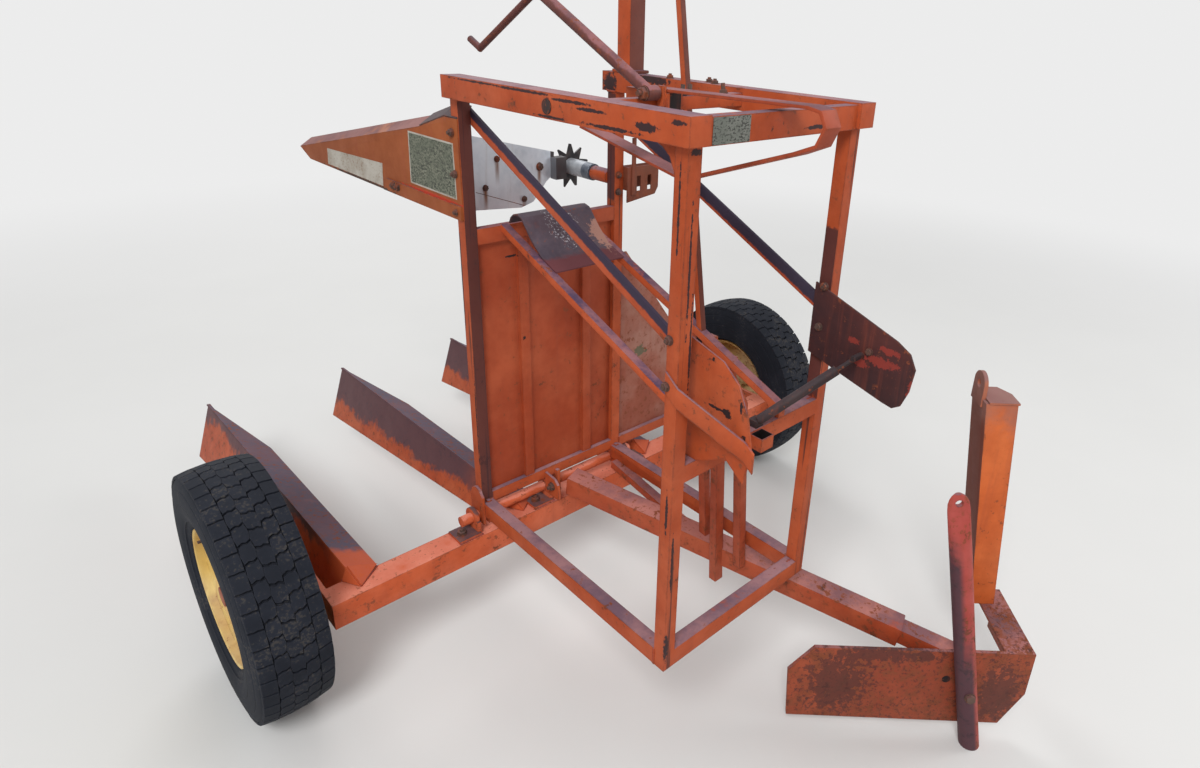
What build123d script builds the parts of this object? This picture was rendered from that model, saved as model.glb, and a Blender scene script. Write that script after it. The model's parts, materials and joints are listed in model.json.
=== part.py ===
"""Bale stooker: a towed frame with a bale chute and a tilting, pronged axle."""
from build123d import *
import math
import os

os.makedirs("parts", exist_ok=True)

# Axes: X across the machine, +Y to the rear, +Z up, ground at Z = 0.
AXLE_Y = 214.75           # wheel centres, measured from the middle of the whole machine
TRACK_X = 950.0           # wheel centre to the middle of the machine
CLEAR = 6.0               # running clearance between pieces that move past each other

# wheels
TYRE_R = 335.0
TYRE_W = 184.0
BEAD_W = 156.0            # tyre's width on the rim
SIDE_RISE = 42.0          # from the rim's edge up to the widest place of the side wall
SHOULDER_DROP = 32.0      # from the crown down to the shoulder
CROWN_W = 126.0
RIM_R = 190.0
SEAT_R = RIM_R - 5        # outside of the rim's barrel
BARREL_R = SEAT_R - 9      # inside of the rim's barrel
FLANGE_W = 152.0          # rim's width over its flanges
HUB_R = 46.0
HUB_OUT = 34.0            # hub's outer face, from the wheel's middle
HUB_IN = 52.0             # hub's inner face, from the wheel's middle
DISC_R = 120.0            # flat middle of the disc
DISC_OUT = 22.0
DISC_RISE = 20.0          # from the flat middle out to the barrel
DISC_T = 10.0
SPINDLE_R = 19.0
CAP_R = 40.0
CAP_T = 13.0
NUB_R = 26.0
NUB_T = 19.0
WHEEL_Z = TYRE_R
WHEEL_GAP = 20.0          # tyre's side wall to the axle beam's end

# tilting axle
BEAM = 73.0               # square of the axle beam
BEAM_Y = AXLE_Y - 220.0
BEAM_Z = WHEEL_Z
BEAM_X = TRACK_X - TYRE_W / 2 - WHEEL_GAP
BEAM_TOP = BEAM_Z + BEAM / 2
ARM_T = 14.0
ARM_H = 72.0
ARM_BACK = 42.0           # from the wheel centres to the arm's rear end
COLLAR_R = 32.0
PIVOT_Y = AXLE_Y - 210.0
PIVOT_Z = BEAM_TOP + 38.5
PIVOT_R = 15.0

# tower frame
POST = 32.0
NEAR_X = -384.0           # near posts
FAR_X = 82.0              # far posts
REAR_Y = AXLE_Y - 210.0   # rear posts
FRONT_Y = AXLE_Y - 950.0  # front posts
TOWER_H = 1110.0
SILL_Z = PIVOT_Z + 51     # middle height of the lower rails
TOP_Z = SILL_Z + TOWER_H  # middle height of the top tubes
SILL_TOP = SILL_Z + POST / 2
RAIL_H = 44.0             # height of the side rails and the front rail
RAIL_Z = SILL_Z - 4 - RAIL_H / 2
RAIL_LOW = RAIL_Z - RAIL_H / 2
TOP_TUBE = 50.0
TUBE_OUT = (TOP_TUBE - POST) / 2   # top tubes are flush with the inner faces of the posts
CROSS_Z = SILL_Z + 447    # tube under the front of the chute
CROSS_H = 40.0
PANEL_TOP = SILL_Z + 776
SILL_END_X = 420.0

# drawbar
BAR = 60.0
BAR_LEN = 1020.0
BAR_WALL = 6.0
BAR_REAR = Vector(-110, AXLE_Y - 250, RAIL_LOW)
BAR_AIM = Vector(305, AXLE_Y - 1312, 247)     # point ahead of the hitch that the drawbar leads to
BAR_RUN = (BAR_AIM - BAR_REAR).normalized()
BAR_FRONT = BAR_REAR + BAR_RUN * BAR_LEN


def plate(points, t):
    """Flat plate on coplanar points, thickened by t along the right-hand normal."""
    p = [Vector(*q) for q in points]
    normal = (p[1] - p[0]).cross(p[2] - p[1]).normalized()
    face = Face(Wire.make_polygon(p, close=True))
    return Solid.extrude(face, normal * t)


def bar(p, q, w, h, side=(1, 0, 0)):
    """Box section from p to q, w across the side direction and h the other way."""
    a = Vector(*p)
    b = Vector(*q)
    d = (b - a).normalized()
    s = Vector(*side)
    s = (s - d * s.dot(d)).normalized()
    o = a - s * (w / 2) - d.cross(s) * (h / 2)
    return Solid.make_box(w, h, (b - a).length, Plane(origin=o, x_dir=s, z_dir=d))


def rod(p, q, r):
    """Round bar from p to q."""
    a = Vector(*p)
    b = Vector(*q)
    return Solid.make_cylinder(r, (b - a).length, Plane(origin=a, z_dir=(b - a).normalized()))


def yz_plate(x0, x1, points):
    """Outline in the YZ plane carried from x0 to x1."""
    face = Face(Wire.make_polygon([Vector(x0, y, z) for y, z in points], close=True))
    return Solid.extrude(face, Vector(x1 - x0, 0, 0))


def xz_plate(y0, y1, points):
    """Outline in the XZ plane carried from y0 to y1."""
    face = Face(Wire.make_polygon([Vector(x, y0, z) for x, z in points], close=True))
    return Solid.extrude(face, Vector(0, y1 - y0, 0))


def box(x0, x1, y0, y1, z0, z1):
    """Box between corner values."""
    return Solid.make_box(x1 - x0, y1 - y0, z1 - z0, Plane(origin=(x0, y0, z0)))


# Wheels: tyre, rim with dish, both turning on a spindle.
WHEELS = [("near", -1), ("far", 1)]
for side, sx in WHEELS:
    cx = sx * TRACK_X
    tyre_half = [
        (SEAT_R + 1, BEAD_W / 2), (RIM_R + SIDE_RISE, TYRE_W / 2),
        (TYRE_R - SHOULDER_DROP, TYRE_W / 2), (TYRE_R, CROWN_W / 2),
    ]
    mirror_half = [(r, -w) for r, w in reversed(tyre_half)]
    tyre_plane = Plane(origin=(cx, AXLE_Y, WHEEL_Z), x_dir=(0, 1, 0), z_dir=(0, 0, 1))
    with BuildPart() as tyre:
        with BuildSketch(tyre_plane):
            with BuildLine():
                Polyline(*(tyre_half + mirror_half), close=True)
            make_face()
        revolve(axis=Axis((cx, AXLE_Y, WHEEL_Z), (1, 0, 0)))
    tyre.part.label = side + "_tyre"
    export_step(tyre.part, "parts/" + side + "_tyre.step")

    # The dish faces outboard; the profile runs from the spindle bore to the rim flange.
    disc_in = DISC_OUT - DISC_T
    rim_out = [
        (SPINDLE_R + 1, HUB_OUT), (HUB_R, HUB_OUT), (HUB_R, DISC_OUT), (DISC_R, DISC_OUT),
        (BARREL_R, DISC_OUT + DISC_RISE), (BARREL_R, FLANGE_W / 2), (SEAT_R, FLANGE_W / 2),
        (SEAT_R, -FLANGE_W / 2), (BARREL_R, -FLANGE_W / 2), (BARREL_R, disc_in + DISC_RISE),
        (DISC_R, disc_in), (HUB_R, disc_in), (HUB_R, -HUB_IN), (SPINDLE_R + 1, -HUB_IN),
    ]
    with BuildPart() as rim:
        with BuildSketch(tyre_plane):
            with BuildLine():
                Polyline(*[(r, -sx * w) for r, w in rim_out], close=True)
            make_face()
        revolve(axis=Axis((cx, AXLE_Y, WHEEL_Z), (1, 0, 0)))
    rim.part.label = side + "_rim"
    export_step(rim.part, "parts/" + side + "_rim.step")

# Axle beam with an arm at each end that carries a wheel spindle behind the beam.
beam_body = box(-BEAM_X, BEAM_X, BEAM_Y - BEAM / 2, BEAM_Y + BEAM / 2, BEAM_Z - BEAM / 2, BEAM_TOP)
arm_bits = []
for sx in (-1, 1):
    x_out = sx * BEAM_X
    x_in = sx * (BEAM_X - ARM_T)
    x_low, x_high = sorted((x_out, x_in))
    arm = box(x_low, x_high, BEAM_Y, AXLE_Y + ARM_BACK, BEAM_Z - ARM_H / 2, BEAM_Z + ARM_H / 2)
    spindle = rod((x_in, AXLE_Y, WHEEL_Z), (sx * (TRACK_X + HUB_OUT - 1), AXLE_Y, WHEEL_Z), SPINDLE_R)
    collar = rod((x_out, AXLE_Y, WHEEL_Z), (sx * (TRACK_X - HUB_IN - 2), AXLE_Y, WHEEL_Z), COLLAR_R)
    arm_bits += [arm, spindle, collar]
with BuildPart() as axle_beam:
    add(beam_body)
    for bit in arm_bits:
        add(bit)
axle_beam.part.label = "axle_beam"
export_step(axle_beam.part, "parts/axle_beam.step")

for side, sx in WHEELS:
    seat = Vector(sx * (TRACK_X + HUB_OUT), AXLE_Y, WHEEL_Z)
    step = seat + Vector(sx * CAP_T, 0, 0)
    with BuildPart() as cap:
        add(rod(seat, step, CAP_R))
        add(rod(step, step + Vector(sx * NUB_T, 0, 0), NUB_R))
    cap.part.label = side + "_hub_cap"
    export_step(cap.part, "parts/" + side + "_hub_cap.step")

# Pivot ears on top of the beam; the tower's pivot shaft runs through them.
EARS = [("near", -424.0, -1), ("middle", -180.0, -1), ("far", 124.0, 1)]
EAR_T = 12.0
EAR_R = 29.0
EAR_W = 62.0
FOOT_HALF = 34.0          # half the length of the plate under an ear
FOOT_BACK = 32.0          # half the plate's width
FOOT_T = 8.0
for name, x, sx in EARS:
    ear = Plane(origin=(x - EAR_T / 2, PIVOT_Y, PIVOT_Z), x_dir=(0, 1, 0), z_dir=(1, 0, 0))
    with BuildPart() as ear_part:
        with BuildSketch(ear):
            Circle(EAR_R)
            with Locations((EAR_R - EAR_W / 2 - 2, -(PIVOT_Z - BEAM_TOP) / 2)):
                Rectangle(EAR_W, PIVOT_Z - BEAM_TOP)
        extrude(amount=EAR_T)
        foot_x = x + sx * (FOOT_HALF - 2)
        foot = Plane(origin=(foot_x - FOOT_HALF, BEAM_Y - FOOT_BACK, BEAM_TOP))
        add(Solid.make_box(2 * FOOT_HALF, 2 * FOOT_BACK, FOOT_T, foot))
        add(rod((x - 20, PIVOT_Y, PIVOT_Z), (x + 20, PIVOT_Y, PIVOT_Z), PIVOT_R + 0.5), mode=Mode.SUBTRACT)
    ear_part.part.label = name + "_pivot_ear"
    export_step(ear_part.part, "parts/" + name + "_pivot_ear.step")

# Prongs: bent plates with a ridge on top, cut away to a point on their +X side.
PRONG_T = 6.0
PRONG_TIP_Y = AXLE_Y + 1043.0
PRONG_ROOT_Y = BEAM_Y + BEAM / 2
RIDGE_ROOT_Z = BEAM_TOP + 36.5
RIDGE_TIP_Z = BEAM_TOP - 5.5
PRONG_START = 70.0        # from the beam's near end to the first prong's ridge
PRONG_END = 160.0         # from the last prong's ridge to the beam's far end
PRONG_COUNT = 4
PRONG_GAP = (2 * BEAM_X - PRONG_START - PRONG_END) / (PRONG_COUNT - 1)
LEFT_FALL = Vector(-32, 0, -100)     # slope of the -X plate, ridge to lower edge
RIGHT_FALL = Vector(74, 0, -32)      # slope of the +X plate
for number in range(PRONG_COUNT):
    name = "prong_" + str(number + 1)
    x = PRONG_START - BEAM_X + number * PRONG_GAP
    root = Vector(x, PRONG_ROOT_Y, RIDGE_ROOT_Z)
    tip = Vector(x, PRONG_TIP_Y, RIDGE_TIP_Z)
    run = tip - root
    left = plate([root, root + LEFT_FALL, tip + LEFT_FALL * 1.95, tip], PRONG_T)
    over = root - RIGHT_FALL * 0.05
    right = plate([over, root + RIGHT_FALL, root + RIGHT_FALL + run * 0.66, over + run], -PRONG_T)
    with BuildPart() as prong:
        add(left)
        add(right)
        add(beam_body, mode=Mode.SUBTRACT)
    prong.part.label = name
    export_step(prong.part, "parts/" + name + ".step")

# Tower frame: four posts, round top tubes, lower rails and cross tubes.
rails = []
SIDES = [(NEAR_X, NEAR_X - TUBE_OUT, REAR_Y + 20), (FAR_X, FAR_X + TUBE_OUT, REAR_Y + 40)]
for x, tube_x, tube_end in SIDES:
    for y in (REAR_Y, FRONT_Y):
        rails.append(bar((x, y, RAIL_LOW), (x, y, TOP_Z), POST, POST))
    rails.append(bar((tube_x, tube_end, TOP_Z), (tube_x, FRONT_Y - 34, TOP_Z), TOP_TUBE, TOP_TUBE))
    rails.append(bar((x, REAR_Y + POST / 2, RAIL_Z), (x, FRONT_Y - POST / 2, RAIL_Z), POST, RAIL_H))
rails.append(bar((NEAR_X - POST / 2, REAR_Y, SILL_Z), (SILL_END_X, REAR_Y, SILL_Z), POST, POST, (0, 1, 0)))
rails.append(bar((NEAR_X, FRONT_Y, RAIL_Z), (FAR_X, FRONT_Y, RAIL_Z), POST, RAIL_H, (0, 1, 0)))
rails.append(bar((NEAR_X, FRONT_Y, CROSS_Z), (FAR_X, FRONT_Y, CROSS_Z), POST, CROSS_H, (0, 1, 0)))
TOP_CROSS_Y = AXLE_Y - 655.0
TOP_CROSS = 28.0
FRONT_BAR_W = 30.0
FRONT_BAR_H = 48.0
MID_HANGER_X = -148.0
PIVOT_X0 = NEAR_X - 78
PIVOT_X1 = FAR_X + 68
top_cross = bar((NEAR_X, TOP_CROSS_Y, TOP_Z), (FAR_X, TOP_CROSS_Y, TOP_Z), TOP_CROSS, TOP_CROSS, (0, 1, 0))
rails.append(top_cross)
FRONT_BAR_Y = FRONT_Y - 10
front_a = (NEAR_X, FRONT_BAR_Y, TOP_Z - 3)
front_b = (FAR_X, FRONT_BAR_Y, TOP_Z - 3)
rails.append(bar(front_a, front_b, FRONT_BAR_W, FRONT_BAR_H, (0, 1, 0)))
# hangers that carry the pivot shaft
for x in (NEAR_X, FAR_X, MID_HANGER_X):
    rails.append(box(x - 6, x + 6, PIVOT_Y - 28, PIVOT_Y + 28, PIVOT_Z - 22, SILL_Z))
with BuildPart() as tower_frame:
    for bit in rails:
        add(bit)
    add(rod((PIVOT_X0, PIVOT_Y, PIVOT_Z), (PIVOT_X1, PIVOT_Y, PIVOT_Z), PIVOT_R), mode=Mode.SUBTRACT)
tower_frame.part.label = "tower_frame"
export_step(tower_frame.part, "parts/tower_frame.step")

with BuildPart() as pivot_shaft:
    add(rod((PIVOT_X0, PIVOT_Y, PIVOT_Z), (PIVOT_X1, PIVOT_Y, PIVOT_Z), PIVOT_R))
pivot_shaft.part.label = "pivot_shaft"
export_step(pivot_shaft.part, "parts/pivot_shaft.step")

# Side braces: flat bars on the inner faces of the posts, high at the rear.
BRACE_T = 8.0
BRACE_H = 32.0
BRACES = [("near_brace", NEAR_X + POST / 2 + BRACE_T / 2), ("far_brace", FAR_X - POST / 2 - BRACE_T / 2)]
BRACE_REAR_Z = TOP_Z - 61
BRACE_FRONT_Z = TOP_Z - 411
for name, x in BRACES:
    with BuildPart() as brace:
        add(bar((x, REAR_Y, BRACE_REAR_Z), (x, FRONT_Y, BRACE_FRONT_Z), BRACE_T, BRACE_H))
    brace.part.label = name
    export_step(brace.part, "parts/" + name + ".step")

# Back panel between the rear posts, with ribs on its front face and a top rail.
PANEL_Y = REAR_Y
px0 = NEAR_X + POST / 2
px1 = FAR_X - POST / 2
panel_bits = [box(px0, px1, PANEL_Y - 2, PANEL_Y + 2, SILL_TOP, PANEL_TOP - 10)]
panel_bits.append(box(px0, px1, PANEL_Y - 16, PANEL_Y + 8, PANEL_TOP - 40, PANEL_TOP))
PANEL_RIBS = [-238.0, -30.0]
for x in PANEL_RIBS:
    panel_bits.append(box(x - 15, x + 15, PANEL_Y - 14, PANEL_Y, SILL_TOP, PANEL_TOP - 20))
with BuildPart() as back_panel:
    for bit in panel_bits:
        add(bit)
back_panel.part.label = "back_panel"
export_step(back_panel.part, "parts/back_panel.step")

# Side panel: full height along the far rear post, low at the sill's free end.
SIDE_PANEL_H = 613.0
SIDE_PANEL_END_H = 213.0
SIDE_PANEL_LEDGE = 30.0
sp0 = FAR_X + POST / 2
side_outline = [(sp0, SILL_TOP), (SILL_END_X, SILL_TOP), (SILL_END_X, SILL_TOP + SIDE_PANEL_END_H),
                (sp0 + SIDE_PANEL_LEDGE, SILL_TOP + SIDE_PANEL_H), (sp0, SILL_TOP + SIDE_PANEL_H)]
with BuildPart() as side_panel:
    add(xz_plate(REAR_Y - 2, REAR_Y + 2, side_outline))
side_panel.part.label = "side_panel"
export_step(side_panel.part, "parts/side_panel.step")

# Chute: two sloping rails from the panel top to the front cross tube, with a curved lip.
CHUTE_W = 22.0
CHUTE_H = 20.0
CHUTE_SLOPE = 0.382
CHUTE_REAR = REAR_Y - 16
CHUTE_Z = PANEL_TOP + 4
NEAR_CHUTE_X = -291.0
FAR_CHUTE_X = -66.0
CHUTE_RAILS = [("near_chute_rail", NEAR_CHUTE_X), ("far_chute_rail", FAR_CHUTE_X)]


def chute_z(y):
    """Height of the top of the chute rails at y."""
    return CHUTE_Z - CHUTE_SLOPE * (CHUTE_REAR - y)


chute_rails = {}
for name, x in CHUTE_RAILS:
    y_low = FRONT_Y + POST / 2
    with BuildPart() as rail:
        add(yz_plate(x - CHUTE_W / 2, x + CHUTE_W / 2, [
            (CHUTE_REAR, CHUTE_Z), (CHUTE_REAR, CHUTE_Z - CHUTE_H), (y_low, chute_z(y_low) - CHUTE_H),
            (y_low, CROSS_Z + CROSS_H / 2), (FRONT_Y - POST / 2, CROSS_Z + CROSS_H / 2),
            (FRONT_Y - POST / 2, chute_z(FRONT_Y - POST / 2))]))
    chute_rails[name] = rail.part
    rail.part.label = name
    export_step(rail.part, "parts/" + name + ".step")

# The lip is a sheet rolled over the panel's top rail that then bends down onto the rails.
LIP_T = 4.0
LIP_R = 38.0
LIP_X0 = NEAR_CHUTE_X + CHUTE_W / 2 - 4
LIP_X1 = FAR_CHUTE_X + CHUTE_W / 2 - 18
LIP_TURNS = [14, 40, 65, 90, 120, 150]     # degrees round the roll, from the rear
lip_c = Vector(0, REAR_Y - 62, CHUTE_Z - 6)
lip_end_y = REAR_Y - 222


def lip_arc(r, turns):
    """Points of the rolled edge at radius r."""
    angles = [math.radians(turn) for turn in turns]
    return [(lip_c.Y + r * math.cos(a), lip_c.Z + r * math.sin(a)) for a in angles]


lip_flat = [(REAR_Y - 120, chute_z(REAR_Y - 120) + 24), (REAR_Y - 160, chute_z(REAR_Y - 160) + LIP_T),
            (lip_end_y, chute_z(lip_end_y) + LIP_T)]
lip_under = [(lip_end_y, chute_z(lip_end_y)), (REAR_Y - 158, chute_z(REAR_Y - 158) + 0.01),
             (REAR_Y - 117, chute_z(REAR_Y - 117) + 19)]
lip_outline = lip_arc(LIP_R, LIP_TURNS) + lip_flat + lip_under + lip_arc(LIP_R - LIP_T, LIP_TURNS[::-1])
with BuildPart() as chute_lip:
    with BuildSketch(Plane(origin=(LIP_X0, 0, 0), x_dir=(0, 1, 0), z_dir=(1, 0, 0))):
        with BuildLine():
            Polyline(*lip_outline, close=True)
        make_face()
    extrude(amount=LIP_X1 - LIP_X0)
chute_lip.part.label = "chute_lip"
export_step(chute_lip.part, "parts/chute_lip.step")

# Curved plate at the near side of the chute front, and the flat bar that holds it to the post.
SIDE_X = -338.0
SIDE_T = 4.0
# Columns: y from the wheel centres, height above the cross tube's middle.
SIDE_PLATE = [(-925, 280), (-1020, 255), (-1060, 222), (-1087, 167), (-1102, 97), (-1087, 26),
              (-1040, 60), (-985, 28), (-966, 20), (-934, 20)]
with BuildPart() as chute_side:
    add(yz_plate(SIDE_X, SIDE_X + SIDE_T, [(AXLE_Y + y, CROSS_Z + z) for y, z in SIDE_PLATE]))
chute_side.part.label = "chute_side"
export_step(chute_side.part, "parts/chute_side.step")

# The tie bar is flat, slopes down to the front and cranks inward past the post.
TIE_T = 5.0
TIE_HIGH = 41.6           # its height measured straight up, not square to its slope
TIE_Z = CROSS_Z + 205
TIE_SLOPE = 0.704
TIE_SKEW = 1.25           # how far the outer face's bends lie ahead of the inner face's
post_face = NEAR_X - POST / 2
# Columns: place across of the inner face, y from the front posts.
TIE_BENDS = [(post_face, 14), (post_face, -20), (SIDE_X, -138), (SIDE_X, -160)]
tie_plan = [Vector(x, FRONT_Y + y, 0) for x, y in TIE_BENDS]
tie_plan += [Vector(x - TIE_T, FRONT_Y + y - TIE_SKEW, 0) for x, y in reversed(TIE_BENDS)]
tie_side = []
for y, drop in ((20, 0), (20, -TIE_HIGH), (-170, -TIE_HIGH), (-170, 0)):
    tie_side.append((FRONT_Y + y, TIE_Z + TIE_HIGH / 2 + TIE_SLOPE * (y - 14) + drop))
with BuildPart() as side_tie:
    add(Solid.extrude(Face(Wire.make_polygon(tie_plan, close=True)), Vector(0, 0, TOP_Z)))
    add(yz_plate(post_face - 20, SIDE_X + 20, tie_side), mode=Mode.INTERSECT)
side_tie.part.label = "side_tie"
export_step(side_tie.part, "parts/side_tie.step")

# Flat hangers tie the middle of the drawbar to the far chute rail.
# Columns: name, rear face y, foot's place across and up from the drawbar's middle line, width.
HANGERS = [("near_hanger", AXLE_Y - 711, -32.0, -77.0, 30.0),
           ("far_hanger", AXLE_Y - 782, -49.0, 17.0, 24.0),
           ("rear_hanger", AXLE_Y - 650, 4.5, -18.6, 20.0)]
HANGER_T = 24.0
for name, y_back, foot_out, foot_drop, wide in HANGERS:
    bar_here = BAR_REAR + BAR_RUN * ((y_back - HANGER_T / 2 - BAR_REAR.Y) / BAR_RUN.Y)
    foot_x = bar_here.X + foot_out
    foot_z = bar_here.Z + foot_drop
    head_x = FAR_CHUTE_X + CHUTE_W / 2 + wide / 2 - 8
    head_z = chute_z(y_back - HANGER_T) - CHUTE_H / 2
    knee_x = foot_x * 0.5 - 25
    with BuildPart() as hanger:
        add(xz_plate(y_back - HANGER_T, y_back, [
            (head_x + wide / 2, head_z), (head_x - wide / 2, head_z), (head_x - wide / 2, head_z - 60),
            (knee_x - wide / 2, head_z - 150), (foot_x - wide / 2, foot_z), (foot_x + wide / 2, foot_z),
            (knee_x + wide / 2, head_z - 140), (head_x + wide / 2, head_z - 50)]))
        add(bar(BAR_REAR, BAR_FRONT, BAR, BAR), mode=Mode.SUBTRACT)
        add(chute_rails["far_chute_rail"], mode=Mode.SUBTRACT)
    hanger.part.label = name
    export_step(hanger.part, "parts/" + name + ".step")

# Tapered wing behind the near rear post, bottom edge level, top edge folded over.
WING_X = NEAR_X - POST / 2
WING_T = 3.0
FOLD_W = 38.0
# Columns: y from the wheel centres, height under the top tubes.
WING = [(-224, -309), (733, -309), (811, -279), (-39, -109), (-165, -71), (-224, -71)]
wing_face = yz_plate(WING_X - WING_T, WING_X, [(AXLE_Y + y, TOP_Z + z) for y, z in WING])
fold_x = WING_X - WING_T + 1
fold_edge = [(fold_x, AXLE_Y + 807, TOP_Z - 281), (fold_x, AXLE_Y - 39, TOP_Z - 112)]
fold_rim = [(x + FOLD_W, y, z + 25) for x, y, z in reversed(fold_edge)]
wing_fold = plate(fold_edge + fold_rim, WING_T)
with BuildPart() as side_wing:
    add(wing_face)
    add(wing_fold)
side_wing.part.label = "side_wing"
export_step(side_wing.part, "parts/side_wing.step")

# Galvanised deflector between the near post and the counting star, in two folds.
GALV_A = Vector(WING_X, AXLE_Y - 132, 0)
GALV_B = Vector(0, AXLE_Y - 34, 0)
GALV_T = 3.0
# Columns: share of the way from the wing to the star, height under the top tubes.
GALV = [(0, -109), (0.9, -199), (1.0, -209), (0.99, -271), (0.92, -285), (0.78, -335), (0.66, -343),
        (0.0, -307)]
with BuildPart() as deflector:
    add(plate([GALV_A + (GALV_B - GALV_A) * u + Vector(0, 0, TOP_Z + z) for u, z in GALV], GALV_T))
    add(wing_face, mode=Mode.SUBTRACT)
    add(Solid.make_box(36, 28, 62, Plane(origin=GALV_B + Vector(-14, -30, TOP_Z - 280))))
deflector.part.label = "deflector"
export_step(deflector.part, "parts/deflector.step")

# Counting star on a shaft that turns in a tube welded to the back of the far rear post.
STAR_X = FAR_X - 4
STAR_Z = TOP_Z - 258
STAR_Y = AXLE_Y - 9
SLEEVE_Y = REAR_Y + 90
STAR_R = 66.0
STAR_POINTS = 12
STAR_ROOT = 28.0
star_pts = []
for i in range(STAR_POINTS * 2):
    r = STAR_R if i % 2 == 0 else STAR_ROOT
    a = math.pi * i / STAR_POINTS
    star_pts.append((r * math.cos(a), r * math.sin(a)))
with BuildPart() as star_wheel:
    with BuildSketch(Plane(origin=(STAR_X, STAR_Y, STAR_Z), x_dir=(1, 0, 0), z_dir=(0, 1, 0))):
        with BuildLine():
            Polyline(*star_pts, close=True)
        make_face()
    extrude(amount=6)
    add(rod((STAR_X, STAR_Y + 40, STAR_Z), (STAR_X, REAR_Y + POST / 2 + 20, STAR_Z), 9))
    add(rod((STAR_X, STAR_Y, STAR_Z), (STAR_X, SLEEVE_Y, STAR_Z), 24))
    add(rod((STAR_X, STAR_Y + 6, STAR_Z), (STAR_X, STAR_Y + 22, STAR_Z), 15))
star_wheel.part.label = "star_wheel"
export_step(star_wheel.part, "parts/star_wheel.step")

with BuildPart() as star_bracket:
    add(rod((STAR_X, REAR_Y + POST / 2, STAR_Z), (STAR_X, SLEEVE_Y - 3, STAR_Z), 20))
    add(rod((STAR_X, REAR_Y + POST / 2 + 19, STAR_Z), (STAR_X, SLEEVE_Y, STAR_Z), 9.5), mode=Mode.SUBTRACT)
star_bracket.part.label = "star_bracket"
export_step(star_bracket.part, "parts/star_bracket.step")

# Trip box: a slotted front plate with a sloping foot, a back plate and two sides, open above and below.
TRIP_W = 118.0
TRIP_T = 4.0
TRIP_LOW = STAR_Z - 68
TRIP_TOP = STAR_Z + 32
trip_x = FAR_X + POST / 2
trip_front = [(trip_x, TRIP_LOW), (trip_x + TRIP_W - 12, TRIP_LOW + 14), (trip_x + TRIP_W, TRIP_LOW + 34),
              (trip_x + TRIP_W, TRIP_TOP), (trip_x, TRIP_TOP)]
TRIP_SLOTS = [36.0, 76.0]  # from the post's face
SLOT_W = 14.0
with BuildPart() as trip_box:
    add(xz_plate(REAR_Y - 34, REAR_Y - 34 + TRIP_T, trip_front))
    add(box(trip_x, trip_x + TRIP_W, REAR_Y - 2 - TRIP_T, REAR_Y - 2, TRIP_LOW + 34, TRIP_TOP))
    for x in (trip_x, trip_x + TRIP_W - TRIP_T):
        add(box(x, x + TRIP_T, REAR_Y - 34, REAR_Y - 2, TRIP_LOW + 34, TRIP_TOP))
    for x in TRIP_SLOTS:
        slot = box(trip_x + x, trip_x + x + SLOT_W, REAR_Y - 36, REAR_Y - 28, TRIP_LOW + 30, TRIP_LOW + 72)
        add(slot, mode=Mode.SUBTRACT)
    add(box(trip_x + 14, trip_x + 28, REAR_Y - 38, REAR_Y - 34, TRIP_LOW + 20, TRIP_TOP + 80))
trip_box.part.label = "trip_box"
export_step(trip_box.part, "parts/trip_box.step")

# Fishtail plate on the far front post, and the strut that ties it to the front cross tube.
FISH_X = FAR_X - POST / 2 - 13.3
FISH_T = 5.0
# Columns: y from the wheel centres, height under the top tubes.
FISH = [(-934, -359), (-1150, -431), (-1182, -449), (-1198, -479), (-1192, -531), (-1178, -569),
        (-1160, -581), (-1135, -577), (-1020, -549), (-934, -526)]
with BuildPart() as fishtail:
    add(yz_plate(FISH_X, FISH_X + FISH_T, [(AXLE_Y + y, TOP_Z + z) for y, z in FISH]))
fishtail.part.label = "fishtail_plate"
export_step(fishtail.part, "parts/fishtail_plate.step")

STRUT_LUG_X = -138.0
STRUT_LUG = 24.0
STRUT_A = Vector(STRUT_LUG_X, FRONT_Y - 8, CROSS_Z + CROSS_H / 2 + 14)
STRUT_B = Vector(FISH_X - 22, AXLE_Y - 1072, TOP_Z - 488)
strut_d = (STRUT_B - STRUT_A).normalized()
STRUT_BODY = 200.0
with BuildPart() as strut_barrel:
    add(rod(STRUT_A, STRUT_A + strut_d * STRUT_BODY, 11))
    lug_foot = Plane(origin=(STRUT_LUG_X - STRUT_LUG / 2, FRONT_Y - 14, CROSS_Z + CROSS_H / 2))
    add(Solid.make_box(STRUT_LUG, STRUT_LUG, 16, lug_foot))
strut_barrel.part.label = "strut_barrel"
export_step(strut_barrel.part, "parts/strut_barrel.step")
with BuildPart() as strut_rod:
    add(rod(STRUT_A + strut_d * STRUT_BODY, STRUT_B, 5))
    add(rod((FISH_X - 5 - 30, STRUT_B.Y, STRUT_B.Z), (FISH_X, STRUT_B.Y, STRUT_B.Z), 7))
strut_rod.part.label = "strut_rod"
export_step(strut_rod.part, "parts/strut_rod.step")

# Mast on the far top tube with a slender strut down to the far chute rail.
MAST = 50.0
MAST_X = FAR_X + TUBE_OUT + 3
MAST_Y = REAR_Y - 42
MAST_TOP = 2440.0
LUG_Z = MAST_TOP - 68
mast_foot = TOP_Z + TOP_TUBE / 2
with BuildPart() as mast:
    add(bar((MAST_X, MAST_Y, mast_foot + 8), (MAST_X, MAST_Y, MAST_TOP), MAST, MAST))
    add(box(MAST_X - 30, MAST_X + 30, MAST_Y - 40, MAST_Y + 40, mast_foot, mast_foot + 8))
    add(box(MAST_X - 16, MAST_X + 16, MAST_Y - MAST / 2 - 66, MAST_Y - MAST / 2, LUG_Z, LUG_Z + 8))
mast.part.label = "mast"
export_step(mast.part, "parts/mast.step")
MAST_STRUT = 16.0
strut_foot_y = REAR_Y - 500
strut_foot = (FAR_CHUTE_X, strut_foot_y, chute_z(strut_foot_y) - 6)
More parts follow.
